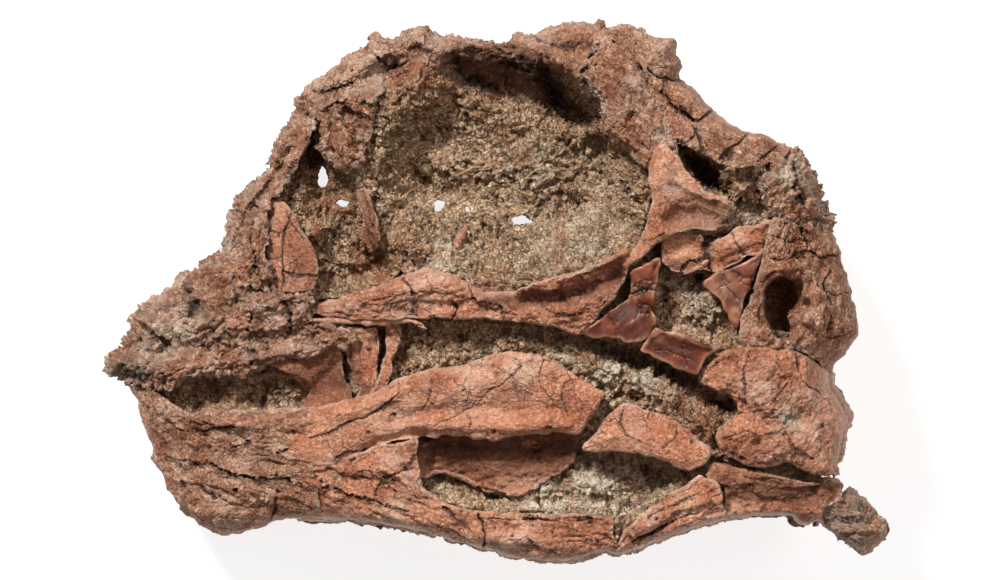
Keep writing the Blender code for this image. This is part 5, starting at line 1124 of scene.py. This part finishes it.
SURANGULAR = [
    (-10.4, -7.6), (-10.0, -6.8), (-9.4, -6.0), (-7.5, -5.5), (-6.6, -5.2), (-5.7, -4.9),
    (-4.5, -4.3), (-2.9, -3.9), (-1.6, -3.75), (-0.7, -3.45), (0.0, -3.2), (0.8, -3.1),
    (2.0, -3.25), (3.0, -3.5), (3.8, -4.1), (4.8, -4.75), (5.5, -5.1), (5.3, -5.6),
    (4.65, -6.4), (4.2, -7.1), (3.0, -7.1), (1.3, -7.25), (-0.2, -7.5), (-2.0, -7.3),
    (-3.7, -7.4), (-4.6, -7.5), (-6.0, -7.9), (-7.4, -8.4), (-8.6, -8.9), (-10.0, -8.5)]
bone("jaw_upper_bar", "surangular_left", SURANGULAR, 621, 0.1, 0.35, 0.7, SOUND, SHELL,
     marks=[("crack", [(1.3, -3.7), (0.5, -4.6), (-0.2, -5.0), (-1.0, -5.75), (-2.0, -6.25),
                       (-3.0, -6.75)], 0.034, 0.16),
            ("crack", [(-4.8, -5.0), (-5.2, -5.6), (-5.5, -6.1)], 0.031, 0.16),
            ("crack", [(-3.1, -4.5), (-3.35, -5.5), (-3.7, -6.0)], 0.031, 0.16),
            ("crack", [(-9.2, -7.4), (-7.5, -6.75), (-6.7, -6.4), (-5.6, -5.9), (-4.85, -5.1)],
             0.05, 0.28),
            ("crack", [(-7.9, -8.4), (-7.1, -8.0), (-6.5, -8.1)], 0.05, 0.28),
            ("soft", [(-7.0, -8.4), (-6.4, -7.9), (-5.5, -7.5), (-4.6, -7.3), (-3.6, -7.2)],
             0.25, -0.4),
            ("crack", [(2.4, -3.5), (2.2, -4.6), (2.9, -5.6)], 0.031, 0.16),
            ("crack", [(3.9, -4.4), (3.3, -5.0), (3.6, -6.2)], 0.031, 0.16),
            ("soft", [(-3.6, -5.2), (-1.0, -4.6), (1.2, -4.2)], 0.8, 0.3),
            ("soft", [(-7.8, -6.2), (-5.8, -5.6), (-4.2, -4.8)], 0.4, 0.3),
            ("soft", [(-4.0, -6.6), (0.0, -6.9), (3.6, -6.7)], 0.3, 0.3),
            ("soft", [(-5.0, -6.5), (-2.0, -6.0), (1.0, -6.0), (3.4, -5.9)], 0.4, -0.25)],
     # The first two pale spots are partly paler bone and partly a painted highlight of the gloss on the
     # bar's upper part.
     spots=[((-1.5, -4.5), 2.0, 0.3), ((1.6, -4.0), 1.4, 0.35), ((-5.4, -6.6), 1.0, 0.25)],
     slant=0.2)
SURANGULAR_REAR = [
    (4.35, -7.85), (4.8, -7.3), (5.5, -6.35), (6.15, -5.65), (6.65, -5.55), (7.5, -5.9),
    (8.8, -6.4), (9.65, -7.0), (10.4, -7.6), (10.8, -8.0), (10.5, -8.6), (9.9, -8.95),
    (9.3, -8.95), (8.4, -8.55), (7.4, -8.25), (6.3, -8.05), (4.9, -8.1)]
bone("jaw_rear_bar", "surangular_rear_left", SURANGULAR_REAR, 641, 0.0, 0.3, 0.4, SOUND, SHELL,
     marks=[("soft", [(8.0, -6.3), (8.6, -6.8)], 0.4, -0.35),
            ("crack", [(6.4, -5.8), (6.2, -6.6), (6.6, -7.4)], 0.031, 0.16),
            ("crack", [(8.9, -6.6), (8.9, -7.3), (8.2, -7.9)], 0.031, 0.16),
            ("soft", [(5.2, -7.4), (7.0, -7.3), (9.2, -8.2)], 0.35, 0.2)],
     spots=[((6.6, -6.6), 0.9, 0.25)], slant=-0.4)
ANGULAR = [
    (-9.9, -9.0), (-8.7, -8.6), (-7.4, -8.25), (-6.0, -7.8), (-4.6, -7.5), (-3.8, -7.4), (-3.85, -8.3),
    (-3.7, -9.25), (-3.2, -10.1), (-2.0, -10.75), (-0.7, -11.05), (1.0, -11.1), (3.0, -11.15),
    (5.4, -11.1), (6.0, -11.5), (5.85, -12.2), (6.3, -14.0), (2.0, -14.2), (-3.0, -13.4),
    (-9.6, -12.5), (-9.9, -11.2), (-9.6, -10.4), (-10.2, -9.4)]
bone("jaw_lower_bar", "angular_left", ANGULAR, 661, 0.0, 0.2, 0.25, SOUND, FIRM,
     marks=[("crack", [(-0.7, -11.35), (1.6, -11.45), (3.2, -11.35), (4.7, -11.3)], 0.043, 0.24),
            ("crack", [(3.0, -11.3), (2.95, -11.7), (2.8, -12.1)], 0.043, 0.24),
            ("crack", [(-6.1, -10.5), (-5.6, -9.6), (-4.6, -9.0), (-3.85, -8.3)], 0.05, 0.28),
            ("crack", [(-8.6, -9.9), (-7.4, -10.2), (-6.2, -10.5), (-4.4, -11.1)], 0.043, 0.24),
            ("crack", [(-0.8, -11.2), (-0.5, -12.1), (-0.6, -13.0)], 0.062, 0.32),
            ("crack", [(-2.6, -10.9), (-1.6, -11.6), (-0.8, -12.3)], 0.037, 0.2),
            ("crack", [(0.6, -12.4), (2.6, -12.6), (4.8, -12.4)], 0.031, 0.16),
            ("soft", [(-7.6, -9.2), (-6.0, -8.9), (-4.6, -9.3), (-3.9, -10.2)], 0.35, 0.3),
            ("soft", [(-7.0, -11.0), (-4.0, -11.4), (-1.0, -12.2), (3.0, -12.6)], 0.4, 0.25),
            ("soft", [(-8.2, -9.4), (-6.6, -9.4), (-5.4, -10.2)], 0.3, -0.3)],
     spots=[((-4.6, -8.9), 1.0, 0.35), ((-5.4, -11.2), 1.2, 0.2), ((1.2, -12.2), 1.4, 0.2)],
     slant=-0.2)
PREARTICULAR = [
    (6.3, -12.2), (6.9, -11.4), (8.0, -10.5), (9.2, -9.85), (9.7, -9.4), (10.4, -9.2),
    (11.2, -9.8), (11.35, -10.6), (11.4, -12.4), (6.3, -14.0)]
bone("jaw_rear_lower_bar", "prearticular_left", PREARTICULAR, 681, -0.1, 0.2, 0.25, SOUND, FIRM,
     marks=[("soft", [(6.9, -12.2), (8.6, -11.2), (10.6, -10.4)], 0.18, 0.3),
            ("soft", [(7.0, -12.8), (9.0, -11.8), (11.2, -11.2)], 0.18, 0.3),
            ("crack", [(6.8, -12.5), (8.8, -11.5), (11.0, -10.7)], 0.05, 0.28),
            ("crack", [(7.6, -11.3), (9.2, -10.5), (10.6, -9.8)], 0.037, 0.2)],
     spots=[((7.6, -11.6), 0.8, 0.25)], slant=0.5)
ARTICULAR = [
    (10.4, -9.2), (10.9, -8.5), (12.4, -8.9), (14.2, -9.2), (15.8, -9.5), (16.9, -9.4),
    (17.3, -10.1), (16.6, -10.7), (16.3, -11.2), (16.2, -12.4), (11.4, -12.4), (11.35, -10.6),
    (11.2, -9.8)]
bone("jaw_joint", "articular_left", ARTICULAR, 701, -0.55, 0.2, 0.25, SOUND, FIRM,
     marks=[("crack", [(11.2, -9.6), (11.15, -10.4), (11.3, -11.2)], 0.056, 0.32),
            ("soft", [(11.6, -11.15), (13.4, -10.95), (16.0, -11.1)], 0.2, 0.4),
            ("soft", [(11.8, -10.3), (14.0, -10.2), (15.8, -10.2)], 0.5, -0.4),
            ("crack", [(12.6, -9.6), (13.4, -10.4), (13.2, -11.0)], 0.031, 0.16),
            # The dark band below is painted shadow under the jaw joint lump.
            ("shade_patch", [(11.2, -9.6), (13.6, -9.9), (16.6, -10.1)], 0.75, 0.65),
            ("soft", [(16.8, -10.1)], 0.5, -1.0)], slant=-0.1)
QUADRATE = [
    (10.0, -4.6), (10.15, -3.9), (10.8, -3.3), (11.6, -2.9), (12.4, -2.65), (13.4, -2.7),
    (14.8, -2.9), (15.9, -3.4), (16.7, -4.0), (18.0, -4.6), (18.4, -6.6), (18.0, -8.2),
    (17.4, -9.1), (16.3, -9.35), (15.5, -9.15), (14.5, -8.7), (13.5, -8.95), (12.5, -8.75),
    (11.5, -8.3), (11.0, -7.75), (10.9, -7.0), (11.4, -6.5), (12.0, -6.0), (11.65, -5.3),
    (10.9, -5.1)]
bone("jaw_joint_lump", "quadrate_left", QUADRATE, 721, 0.4, 1.0, 1.5, SOUND, KNOBBY,
     marks=[("crack", [(11.9, -6.1), (13.3, -6.0), (14.0, -5.25), (14.5, -4.6)], 0.043, 0.24),
            ("soft", [(13.0, -7.6)], 0.22, -0.5), ("crack", [(16.3, -6.75)], 0.124, 0.16),
            ("crack", [(12.6, -3.0), (12.3, -4.0), (12.4, -5.2)], 0.037, 0.2),
            ("crack", [(15.0, -3.2), (15.2, -4.4), (16.2, -5.2)], 0.037, 0.2),
            ("crack", [(11.3, -7.4), (12.4, -7.0), (13.4, -7.2), (14.6, -6.8)], 0.031, 0.16),
            ("crack", [(14.4, -7.0), (14.8, -7.8), (15.8, -8.4)], 0.031, 0.16),
            ("soft", [(12.9, -4.8)], 0.7, 0.25), ("soft", [(14.9, -5.2)], 0.7, 0.3),
            ("soft", [(14.6, -7.8)], 0.6, 0.25), ("soft", [(10.7, -4.3), (11.6, -3.6)], 0.5, -0.5),
            ("soft", [(12.2, -5.6), (13.6, -6.6), (15.4, -6.4)], 0.4, -0.3)],
     # The first pale spot, at the upper left of the lump, is a painted highlight on its top.
     spots=[((13.0, -4.7), 0.9, 0.55), ((15.4, -6.0), 1.2, 0.25), ((14.2, -8.2), 1.0, 0.25)],
     crusts=[((14.4, -6.4), 0.7, 0.8)], slant=0.9)
bone("palate_wing", "ectopterygoid", [
    (-11.2, -3.6), (-9.6, -2.8), (-8.5, -2.6), (-7.65, -2.9), (-7.55, -4.0), (-7.1, -5.0),
    (-7.2, -6.2), (-8.4, -6.2), (-9.7, -5.8), (-9.4, -5.0), (-10.2, -4.3)], 741, 0, 0.12, 0.15,
    SOUND, SHELL,
    marks=[("soft", [(-10.4, -3.9), (-9.4, -4.7), (-9.2, -5.4)], 0.2, 0.15),
           ("soft", [(-8.8, -3.6), (-8.2, -4.6)], 0.7, -0.25),
           # The two dark bands below are painted shade over the plate and along its right edge.
           ("shade_patch", [(-9.8, -4.2), (-8.4, -4.2), (-7.4, -4.6)], 1.6, 0.6),
           ("shade_patch", [(-7.6, -3.2), (-7.3, -4.6)], 0.4, 0.6)],
    reach="deep", depth=0.7, slant=-0.4)
bone("palate_plate", "pterygoid", [
    (-8.2, -2.0), (-7.0, -1.8), (-5.8, -1.9), (-5.8, -3.2), (-5.9, -4.1), (-6.2, -5.4),
    (-7.0, -5.9), (-6.9, -4.9), (-7.3, -4.0), (-7.5, -3.1)], 761, 0, 0.12, 0.15, SOUND, FIRM,
    marks=[("soft", [(-6.4, -2.4), (-6.6, -3.6), (-6.4, -4.7)], 0.25, 0.2),
           # The dark band below is painted shade along the plate's left side.
           ("shade_patch", [(-7.3, -2.6), (-7.1, -3.8), (-6.8, -5.0)], 0.4, 0.6)],
    reach="deep", depth=0.8, slant=-1.3)
bone("palate_strut", "palatine", [
    (-5.5, -1.8), (-4.7, -1.8), (-4.75, -2.9), (-5.1, -3.9), (-5.6, -5.3), (-6.4, -5.6),
    (-5.95, -4.3), (-5.6, -3.4)], 781, 0, 0.15, 0.2, SOUND, FIRM, reach="deep", depth=0.9,
    slant=-1.2)
bone("socket_strut", "lacrimal_bar", [
    (-6.95, 4.8), (-6.5, 5.1), (-6.15, 4.4), (-5.85, 3.4), (-5.75, 2.4), (-6.1, 2.0),
    (-6.5, 2.4), (-6.65, 3.5)], 801, 0, 0.15, 0.2, SOUND, FIRM,
    # The dark band below is painted shade along the strut.
    marks=[("shade_patch", [(-6.6, 4.8), (-6.2, 3.4), (-6.1, 2.2)], 0.6, 0.5),
           ("soft", [(-6.5, 4.6), (-6.2, 3.4)], 0.15, 0.2)],
    reach="deep", depth=0.9, slant=-1.3)
bone("inner_jaw_plate", "splenial", [
    (-4.6, -8.6), (-4.4, -7.4), (-3.4, -6.8), (0.2, -6.9), (3.2, -6.8), (4.1, -7.5), (4.0, -8.4),
    (3.5, -9.1), (2.7, -9.5), (1.7, -10.2), (0.5, -10.35), (-0.7, -10.05), (-1.7, -9.55),
    (-2.7, -9.35), (-3.6, -9.4)], 821, 0, 0.05, 0.12, SOUND, FIRM,
    marks=[("soft", [(-3.0, -8.3), (-0.6, -8.6), (1.6, -8.7), (3.2, -8.3)], 0.75, -0.7),
           ("soft", [(-2.6, -9.2), (-1.0, -9.7), (0.6, -10.1), (1.8, -10.0)], 0.12, 0.15),
           # The two dark bands below are painted shadow under the jaw's upper bar and painted shade
           # over the plate's middle.
           ("shade_patch", [(-3.6, -7.7), (0.4, -7.8), (3.8, -7.7)], 0.8, 0.85),
           ("shade_patch", [(-3.0, -8.6), (0.4, -8.9), (3.2, -8.6)], 1.2, 0.5),
           ("crack", [(-0.9, -8.3), (-0.4, -9.1), (-0.7, -9.8)], 0.037, 0.16)],
    reach="deep", depth=0.45, slant=0.15)

# The varnished splinters behind the cheek.
# Three broken plates behind the cheek and before the ear that a preparator soaked with clear resin
# to hold them together, which made them darker and gave them a slight wet shine.


def lacquered_bone():
    """Dark brown-red bone under clear resin: a thin glossy coat over a deep saturated colour."""
    made, tree, at = blank_finish("lacquered fossil bone")
    seams, _ = flake_seams(tree, at, 1.3)
    broad = add(tree, "TexNoise", {"Vector": at, "Scale": 1 / (1.0 * MM), "Detail": 7.0,
                                   "Roughness": 0.65})
    base = add(tree, "ValToRGB", {"Fac": broad.outputs["Fac"]},
               stops=((0.35, "#36130A"), (0.52, "#552414"), (0.68, "#84442B")))
    # The pale film carries pale spots and the painted rim highlight; the dark film is painted shade in
    # cracks and seams.
    colour = films(tree, base.outputs["Color"], seams, (("pale", "#C9987C"), ("dark", "#200D06")))
    shader = add(tree, "BsdfPrincipled", {"Base Color": colour, "Roughness": 0.5,
                                          "Specular IOR Level": 0.25, "Coat Weight": 0.15,
                                          "Coat Roughness": 0.2, "Coat IOR": 1.5})
    add(tree, "OutputMaterial", {"Surface": shader.outputs["BSDF"]})
    return made


LACQUERED = lacquered_bone()
GLAZED = (0.02, 0.0, 0.012, 0.0, 0.012, 0.0, 0.1)      # flat broken plates under resin
QUADRATOJUGAL = [
    (4.35, -2.2), (4.45, -2.0), (5.2, -1.5), (5.9, -0.85), (6.6, -0.3), (6.75, 0.3), (6.75, 0.85),
    (7.4, 1.3), (8.1, 1.6), (8.25, 1.4), (8.1, 0.6), (7.95, -0.2), (7.85, -0.9), (8.0, -1.5),
    (7.75, -2.15), (7.5, -2.4), (6.9, -2.6), (6.0, -2.4), (5.2, -2.45)]
bone("cheek_splinter", "quadratojugal_left", QUADRATOJUGAL, 841, -0.1, 0.06, 0.1,
     LACQUERED, GLAZED,
     marks=[("soft", [(6.7, -0.6), (7.5, -1.2), (7.8, -2.0)], 0.7, -0.25),
            ("soft", [(4.7, -1.9), (5.6, -1.15), (6.6, -0.35)], 0.1, 0.1),
            ("crack", [(6.5, -0.35), (7.2, -0.05), (8.0, 0.0)], 0.05, 0.3),
            ("crack", [(5.6, -1.2), (6.0, -1.9), (5.9, -2.4)], 0.03, 0.12)],
     spots=[((6.95, 0.4), 0.3, 0.5), ((7.0, -0.3), 0.25, 0.3)], slant=0.9)
bone("cheek_splinter_rear", "quadratojugal_rear", [
    (7.25, -2.95), (7.5, -2.55), (7.9, -2.0), (8.2, -1.95), (9.3, -2.25), (10.7, -2.75),
    (10.9, -3.0), (10.4, -3.4), (10.15, -4.05), (9.9, -4.2), (9.0, -3.85), (8.1, -3.5),
    (7.5, -3.15)], 861, 0.0, 0.06, 0.1, LACQUERED, GLAZED,
    marks=[("soft", [(7.7, -2.3), (8.6, -2.15), (10.6, -2.9)], 0.1, 0.12),
           ("crack", [(7.9, -2.9), (8.9, -3.15), (10.0, -3.5)], 0.03, 0.12),
           ("crack", [(9.5, -2.5), (9.3, -3.1), (9.5, -3.8)], 0.03, 0.12)],
    spots=[((8.1, -2.25), 0.25, 0.35)], slant=-0.3)
bone("ear_splinter", "quadrate_wing", [
    (10.3, 0.35), (10.8, 0.8), (11.6, 1.0), (12.4, 1.3), (13.1, 1.8), (13.25, 1.7), (12.95, 0.8),
    (12.6, 0.0), (12.3, -0.8), (12.05, -1.7), (11.8, -1.75), (11.3, -0.8), (10.7, -0.1)], 881,
    -0.35, 0.06, 0.1, LACQUERED, GLAZED,
    marks=[("soft", [(12.2, -0.9), (12.5, 0.2), (12.9, 1.2)], 0.1, 0.12),
           ("crack", [(11.2, 0.9), (11.5, 0.1), (12.1, -0.4)], 0.03, 0.12)],
    spots=[((11.9, -1.3), 0.35, 0.8), ((11.6, 0.6), 0.9, 0.25)], slant=1.2)

# The rootlets and loose slivers.
# Hair roots of desert plants grew through the sand and dried to straw-coloured threads, and thin
# slivers of bone broke off beside the cheek and the ear.


def dry_root():
    """Straw-brown plant fibre, dull, in lighter and darker lengths."""
    made, tree, at = blank_finish("dried rootlet")
    patch = add(tree, "TexNoise", {"Vector": at, "Scale": 1 / (0.4 * MM), "Detail": 3.0})
    base = add(tree, "ValToRGB", {"Fac": patch.outputs["Fac"]},
               stops=((0.35, "#7C5030"), (0.5, "#A87A4E"), (0.68, "#CBA477")))
    shader = add(tree, "BsdfPrincipled", {"Base Color": base.outputs["Color"], "Roughness": 0.8,
                                          "Specular IOR Level": 0.3})
    add(tree, "OutputMaterial", {"Surface": shader.outputs["BSDF"]})
    return made


ROOT = dry_root()


def strand(name, node, line, thick, lift, seed, finish):
    """Thread that lies on the sandstone of the left side, lift above it: rings of eight points along
    a line, swollen by noise, each end drawn to a point and capped."""
    path = smooth_line(line, closed=False, spans=16)
    ground = middle(path[:, 0]) + sand_top(path[:, 0], path[:, 1], 1)
    share = np.linspace(0, 1, len(path))
    fit = np.polynomial.Polynomial.fit(share, ground, min(3, len(line) - 1))(share)
    path = np.column_stack([path, np.maximum(fit, ground - 0.1) + lift])
    ahead = np.gradient(path, axis=0)
    ahead /= np.linalg.norm(ahead, axis=1)[:, None]
    across = np.cross([0.0, 0.0, 1.0], ahead)
    across /= np.linalg.norm(across, axis=1)[:, None]
    up = np.cross(ahead, across)
    turn = np.linspace(0, 2 * np.pi, 8, endpoint=False)[None, :, None]
    wide = thick / 2 * (0.15 + 0.85 * np.sqrt(np.clip(4 * share * (1 - share), 0, 1)))
    wide = wide * (1 + 0.35 * waves(path, 0.4, 2, seed))
    around = np.cos(turn) * across[:, None] + np.sin(turn) * up[:, None]
    rings = path[:, None] + wide[:, None, None] * around
    i, j = np.meshgrid(np.arange(len(path) - 1), np.arange(8), indexing="ij")
    k = (j + 1) % 8
    sides = np.stack([i * 8 + j, i * 8 + k, i * 8 + 8 + k, i * 8 + 8 + j], -1).reshape(-1, 4)
    cap = np.array([[0, 3, 2, 1], [0, 7, 4, 3], [4, 7, 6, 5]])
    quads = np.concatenate([sides, cap, len(path) * 8 - 8 + cap[:, ::-1]])
    points = rings.reshape(-1, 3)
    none = np.zeros(len(points))
    values = {"dark": none, "pale": none + 0.2, "grey": none}
    piece = build(name, points, quads, values, finish)
    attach(piece, "root")
    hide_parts(node)


# Line of each on the sand, its thickness and its height above the sand
for name, node, slot, line, thick, lift, seed, finish in (
        ("rootlet_front", "sandstone_head", "sandstone",
         [(-5.0, 3.9), (-4.75, 4.5), (-4.2, 5.0), (-3.6, 5.3)], 0.1, 0.08, 1001, ROOT),
        ("rootlet_middle", "sandstone_head", "sandstone",
         [(-2.0, 5.7), (-1.1, 6.1), (-0.2, 6.2)], 0.08, 0.08, 1002, ROOT),
        ("rootlet_upper", "sandstone_head", "sandstone",
         [(-4.2, 6.4), (-3.6, 6.9), (-2.9, 7.0)], 0.07, 0.08, 1003, ROOT),
        ("rootlet_rear", "sandstone_head", "sandstone",
         [(3.2, 7.7), (3.5, 8.1), (3.9, 8.3)], 0.08, 0.08, 1004, ROOT),
        ("rootlet_thin", "sandstone_head", "sandstone",
         [(0.5, 5.5), (1.2, 5.0), (2.1, 4.6)], 0.05, 0.08, 1005, ROOT),
        ("cheek_sliver", "jugal_left", "bone",
         [(-9.4, -1.5), (-7.6, -1.55), (-5.7, -1.6), (-4.3, -1.5), (-3.4, -1.95)],
         0.34, 1.15, 1006, SOUND),
        ("temple_sliver", "squamosal_left", "bone",
         [(9.35, 0.8), (9.8, 1.0), (10.3, 1.25), (10.6, 1.5)], 0.3, 0.9, 1008, SOUND),
        ("ear_sliver", "braincase", "weathered_bone",
         [(13.6, 1.9), (13.25, 0.9), (12.8, 0.0)], 0.25, 0.95, 1009, WEATHERED),
        ("ear_sliver_lower", "braincase", "weathered_bone",
         [(12.75, -0.2), (12.7, -1.0), (12.85, -1.8)], 0.25, 0.95, 1010, WEATHERED),
        ("chip_in_sand", "sandstone_head", "sandstone",
         [(-1.95, 2.1), (-1.8, 2.5), (-1.6, 2.9), (-1.45, 3.2)], 0.4, 0.12, 1011, SOUND)):
    strand(name, node, line, thick, lift, seed, finish)

# The right side of the head and the filling between the sides.
# The same bones on the side that lies on the table, worn flatter and still half in the rock, and
# the block of sandstone that holds both sides apart.
WORN = (0.1, 0.1, 0.04, 0.1, 0.02, 0.06, 0.12)         # evenly worn bone with open cracks
HOLE_SPREAD = 2.2       # how much wider the small holes are in the block than in the sand over it
for name, node, outline, seed, lift, drop, radius, finish in (
        ("upper_jaw_right", "maxilla_right", MAXILLA, 902, -0.1, 0.4, 0.7, WEATHERED),
        ("snout_plates_right", "maxilla_ramus_right", RAMUS, 904, -0.4, 0.3, 0.5, SOUND),
        ("tear_bone_right", "lacrimal_right", LACRIMAL, 906, -0.3, 0.5, 0.8, SOUND),
        ("eye_socket_rear_right", "postorbital_right", POSTORBITAL, 908, 0.2, 0.6, 0.8, SOUND),
        ("temple_bar_right", "squamosal_right", SQUAMOSAL, 910, 0.0, 0.5, 0.6, SOUND),
        ("cheek_bone_right", "jugal_right", JUGAL, 912, 0.2, 0.7, 0.7, SOUND),
        ("cheek_splinter_right", "quadratojugal_right", QUADRATOJUGAL, 914, -0.1, 0.4, 0.6, SOUND),
        ("jaw_joint_lump_right", "quadrate_right", QUADRATE, 916, 0.4, 1.4, 2.0, SOUND),
        ("jaw_upper_bar_right", "surangular_right", SURANGULAR, 918, 0.1, 0.8, 1.3, SOUND),
        ("jaw_rear_bar_right", "surangular_rear_right", SURANGULAR_REAR, 920, 0.0, 0.7, 0.8, SOUND),
        ("jaw_lower_bar_right", "angular_right", ANGULAR, 922, 0.0, 0.45, 0.6, SOUND),
        ("jaw_rear_lower_bar_right", "prearticular_right", PREARTICULAR, 924, -0.1, 0.4, 0.6, SOUND),
        ("jaw_joint_right", "articular_right", ARTICULAR, 926, -0.55, 0.4, 0.6, SOUND)):
    bone(name, node, outline, seed, lift, drop, radius, finish, WORN, reach="right", spacing=0.12)


def core(name, node, outline, seed, holes=()):
    """Block of sandstone through the head, a little under the bed of each side."""
    def faces(x, y, rim):
        return middle(x) - sand_top(x, y, -1), middle(x) + sand_top(x, y, 1) - CORE_FALL

    rings = [smooth_line(outline)] + [smooth_line(hole) for hole in holes]
    points, quads, rim = slab(rings, 0.16, faces, 0.3, [HEAD])
    points, values = sand_skin(points, point_normals(points, quads), rim, seed)
    piece = build(name, points, quads, values, SANDSTONE)
    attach(piece, "root")
    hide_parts(node)


core("sandstone_block", "sandstone_head", [
    (-13.8, 0.8), (-13.0, 4.2), (-11.0, 7.2), (-9.6, 9.6), (-6.4, 10.6), (-5.0, 11.0),
    (-2.0, 11.4), (1.5, 11.4), (4.0, 10.6), (5.6, 12.0), (7.4, 12.0), (8.6, 9.4), (10.6, 8.2),
    (12.8, 7.2), (14.4, 6.4), (14.4, 3.4), (13.6, 1.0), (12.9, -1.6), (12.4, -3.2),
    (12.6, -5.0), (12.4, -6.6), (10.6, -7.6), (7.0, -7.4), (5.0, -6.8), (2.8, -5.9),
    (0.4, -5.4), (-2.0, -5.9), (-5.4, -6.6), (-8.4, -7.2), (-15.4, -6.9), (-17.0, -5.2),
    (-15.4, -3.4), (-14.4, -2.6), (-14.4, -1.0)], 941,
    holes=[[(cx + HOLE_SPREAD * (px - cx), cy + HOLE_SPREAD * (py - cy)) for px, py in ring]
           for ring, (cx, cy) in ((r, np.mean(r, 0)) for r in PINHOLES + SNOUT_HOLES)])
core("sandstone_jaw_block", "sandstone_jaw", [
    (-9.4, -6.0), (-5.4, -5.4), (-2.0, -4.7), (0.4, -4.2), (2.6, -4.6), (4.8, -5.6),
    (7.0, -6.1), (9.8, -6.6), (11.8, -7.4), (15.4, -8.6), (16.6, -9.8), (16.2, -10.8),
    (12.0, -10.9), (9.6, -11.4), (7.0, -12.2), (4.0, -12.7), (1.0, -12.6), (-2.0, -12.0),
    (-5.0, -11.3), (-9.4, -11.0)], 951)
core("sandstone_rear_block", "skull_base", [
    (11.4, -3.0), (13.0, -2.0), (15.6, -2.4), (17.0, -4.0), (17.0, -6.4), (16.9, -8.4),
    (15.0, -9.2), (12.4, -9.0), (10.8, -7.8), (10.8, -5.4)], 961)

# The table, the lamps and the camera.
# A large sheet of white opal glass lit faintly from below, as on a copy stand, so that the outline
# stays clear. A lamp stands at the upper left, a wider and weaker one fills in from the right, and
# the room around adds a dim warm light.


def opal_glass():
    """White glass that glows faintly, so shadows on it stay pale."""
    made = bpy.data.materials.new("opal glass")
    made.use_nodes = True
    shader = made.node_tree.nodes["Principled BSDF"]
    shader.inputs["Base Color"].default_value = (0.3, 0.3, 0.3, 1)
    shader.inputs["Roughness"].default_value = 0.7
    shader.inputs["Emission Color"].default_value = (1, 1, 1, 1)
    shader.inputs["Emission Strength"].default_value = 0.82
    return made


def lamp(name, place, size, power, colour):
    """Square lamp at place in metres, facing the fossil."""
    light = bpy.data.lights.new(name, "AREA")
    light.size = size
    light.energy = power
    light.color = colour
    made = bpy.data.objects.new(name, light)
    made.location = place
    x, y, z = place
    made.rotation_euler = (np.arctan2(np.hypot(x, y), z), 0, np.arctan2(y, x) + np.pi / 2)
    bpy.context.scene.collection.objects.link(made)


TABLE_HALF = 0.6        # metres from the middle of the table to its sides
table = bpy.data.meshes.new("table")
table.from_pydata([(-TABLE_HALF, -TABLE_HALF, 0), (TABLE_HALF, -TABLE_HALF, 0),
                   (TABLE_HALF, TABLE_HALF, 0), (-TABLE_HALF, TABLE_HALF, 0)], [], [(0, 1, 2, 3)])
table.materials.append(opal_glass())
table_top = bpy.data.objects.new("table", table)
bpy.context.scene.collection.objects.link(table_top)
lamp("key lamp", (-0.2, 0.33, 0.4), 0.1, 4.3, (1.0, 0.97, 0.94))
lamp("fill lamp", (0.3, 0.2, 0.5), 0.4, 1.3, (1.0, 0.93, 0.87))

world = bpy.data.worlds.new("room")
world.use_nodes = True
world.node_tree.nodes["Background"].inputs["Color"].default_value = (1.0, 0.87, 0.77, 1)
world.node_tree.nodes["Background"].inputs["Strength"].default_value = 0.24
bpy.context.scene.world = world
bpy.context.scene.view_settings.view_transform = "Standard"

FRAME_WIDTH = 49.5      # mm across the picture
CAMERA_HEIGHT = 500.0   # mm above the fossil's outline
OUTLINE_HEIGHT = 9.0    # mm from the table to the level at which the outline is seen
SENSOR = 36.0           # mm across the camera's sensor
camera = bpy.data.cameras.new("camera")
camera.sensor_width = SENSOR
camera.lens = SENSOR * CAMERA_HEIGHT / FRAME_WIDTH
camera.clip_start = 0.01
camera.clip_end = 5.0
eye = bpy.data.objects.new("camera", camera)
eye.location = (0, 0, (CAMERA_HEIGHT + OUTLINE_HEIGHT) * MM)
bpy.context.scene.collection.objects.link(eye)
bpy.context.scene.camera = eye
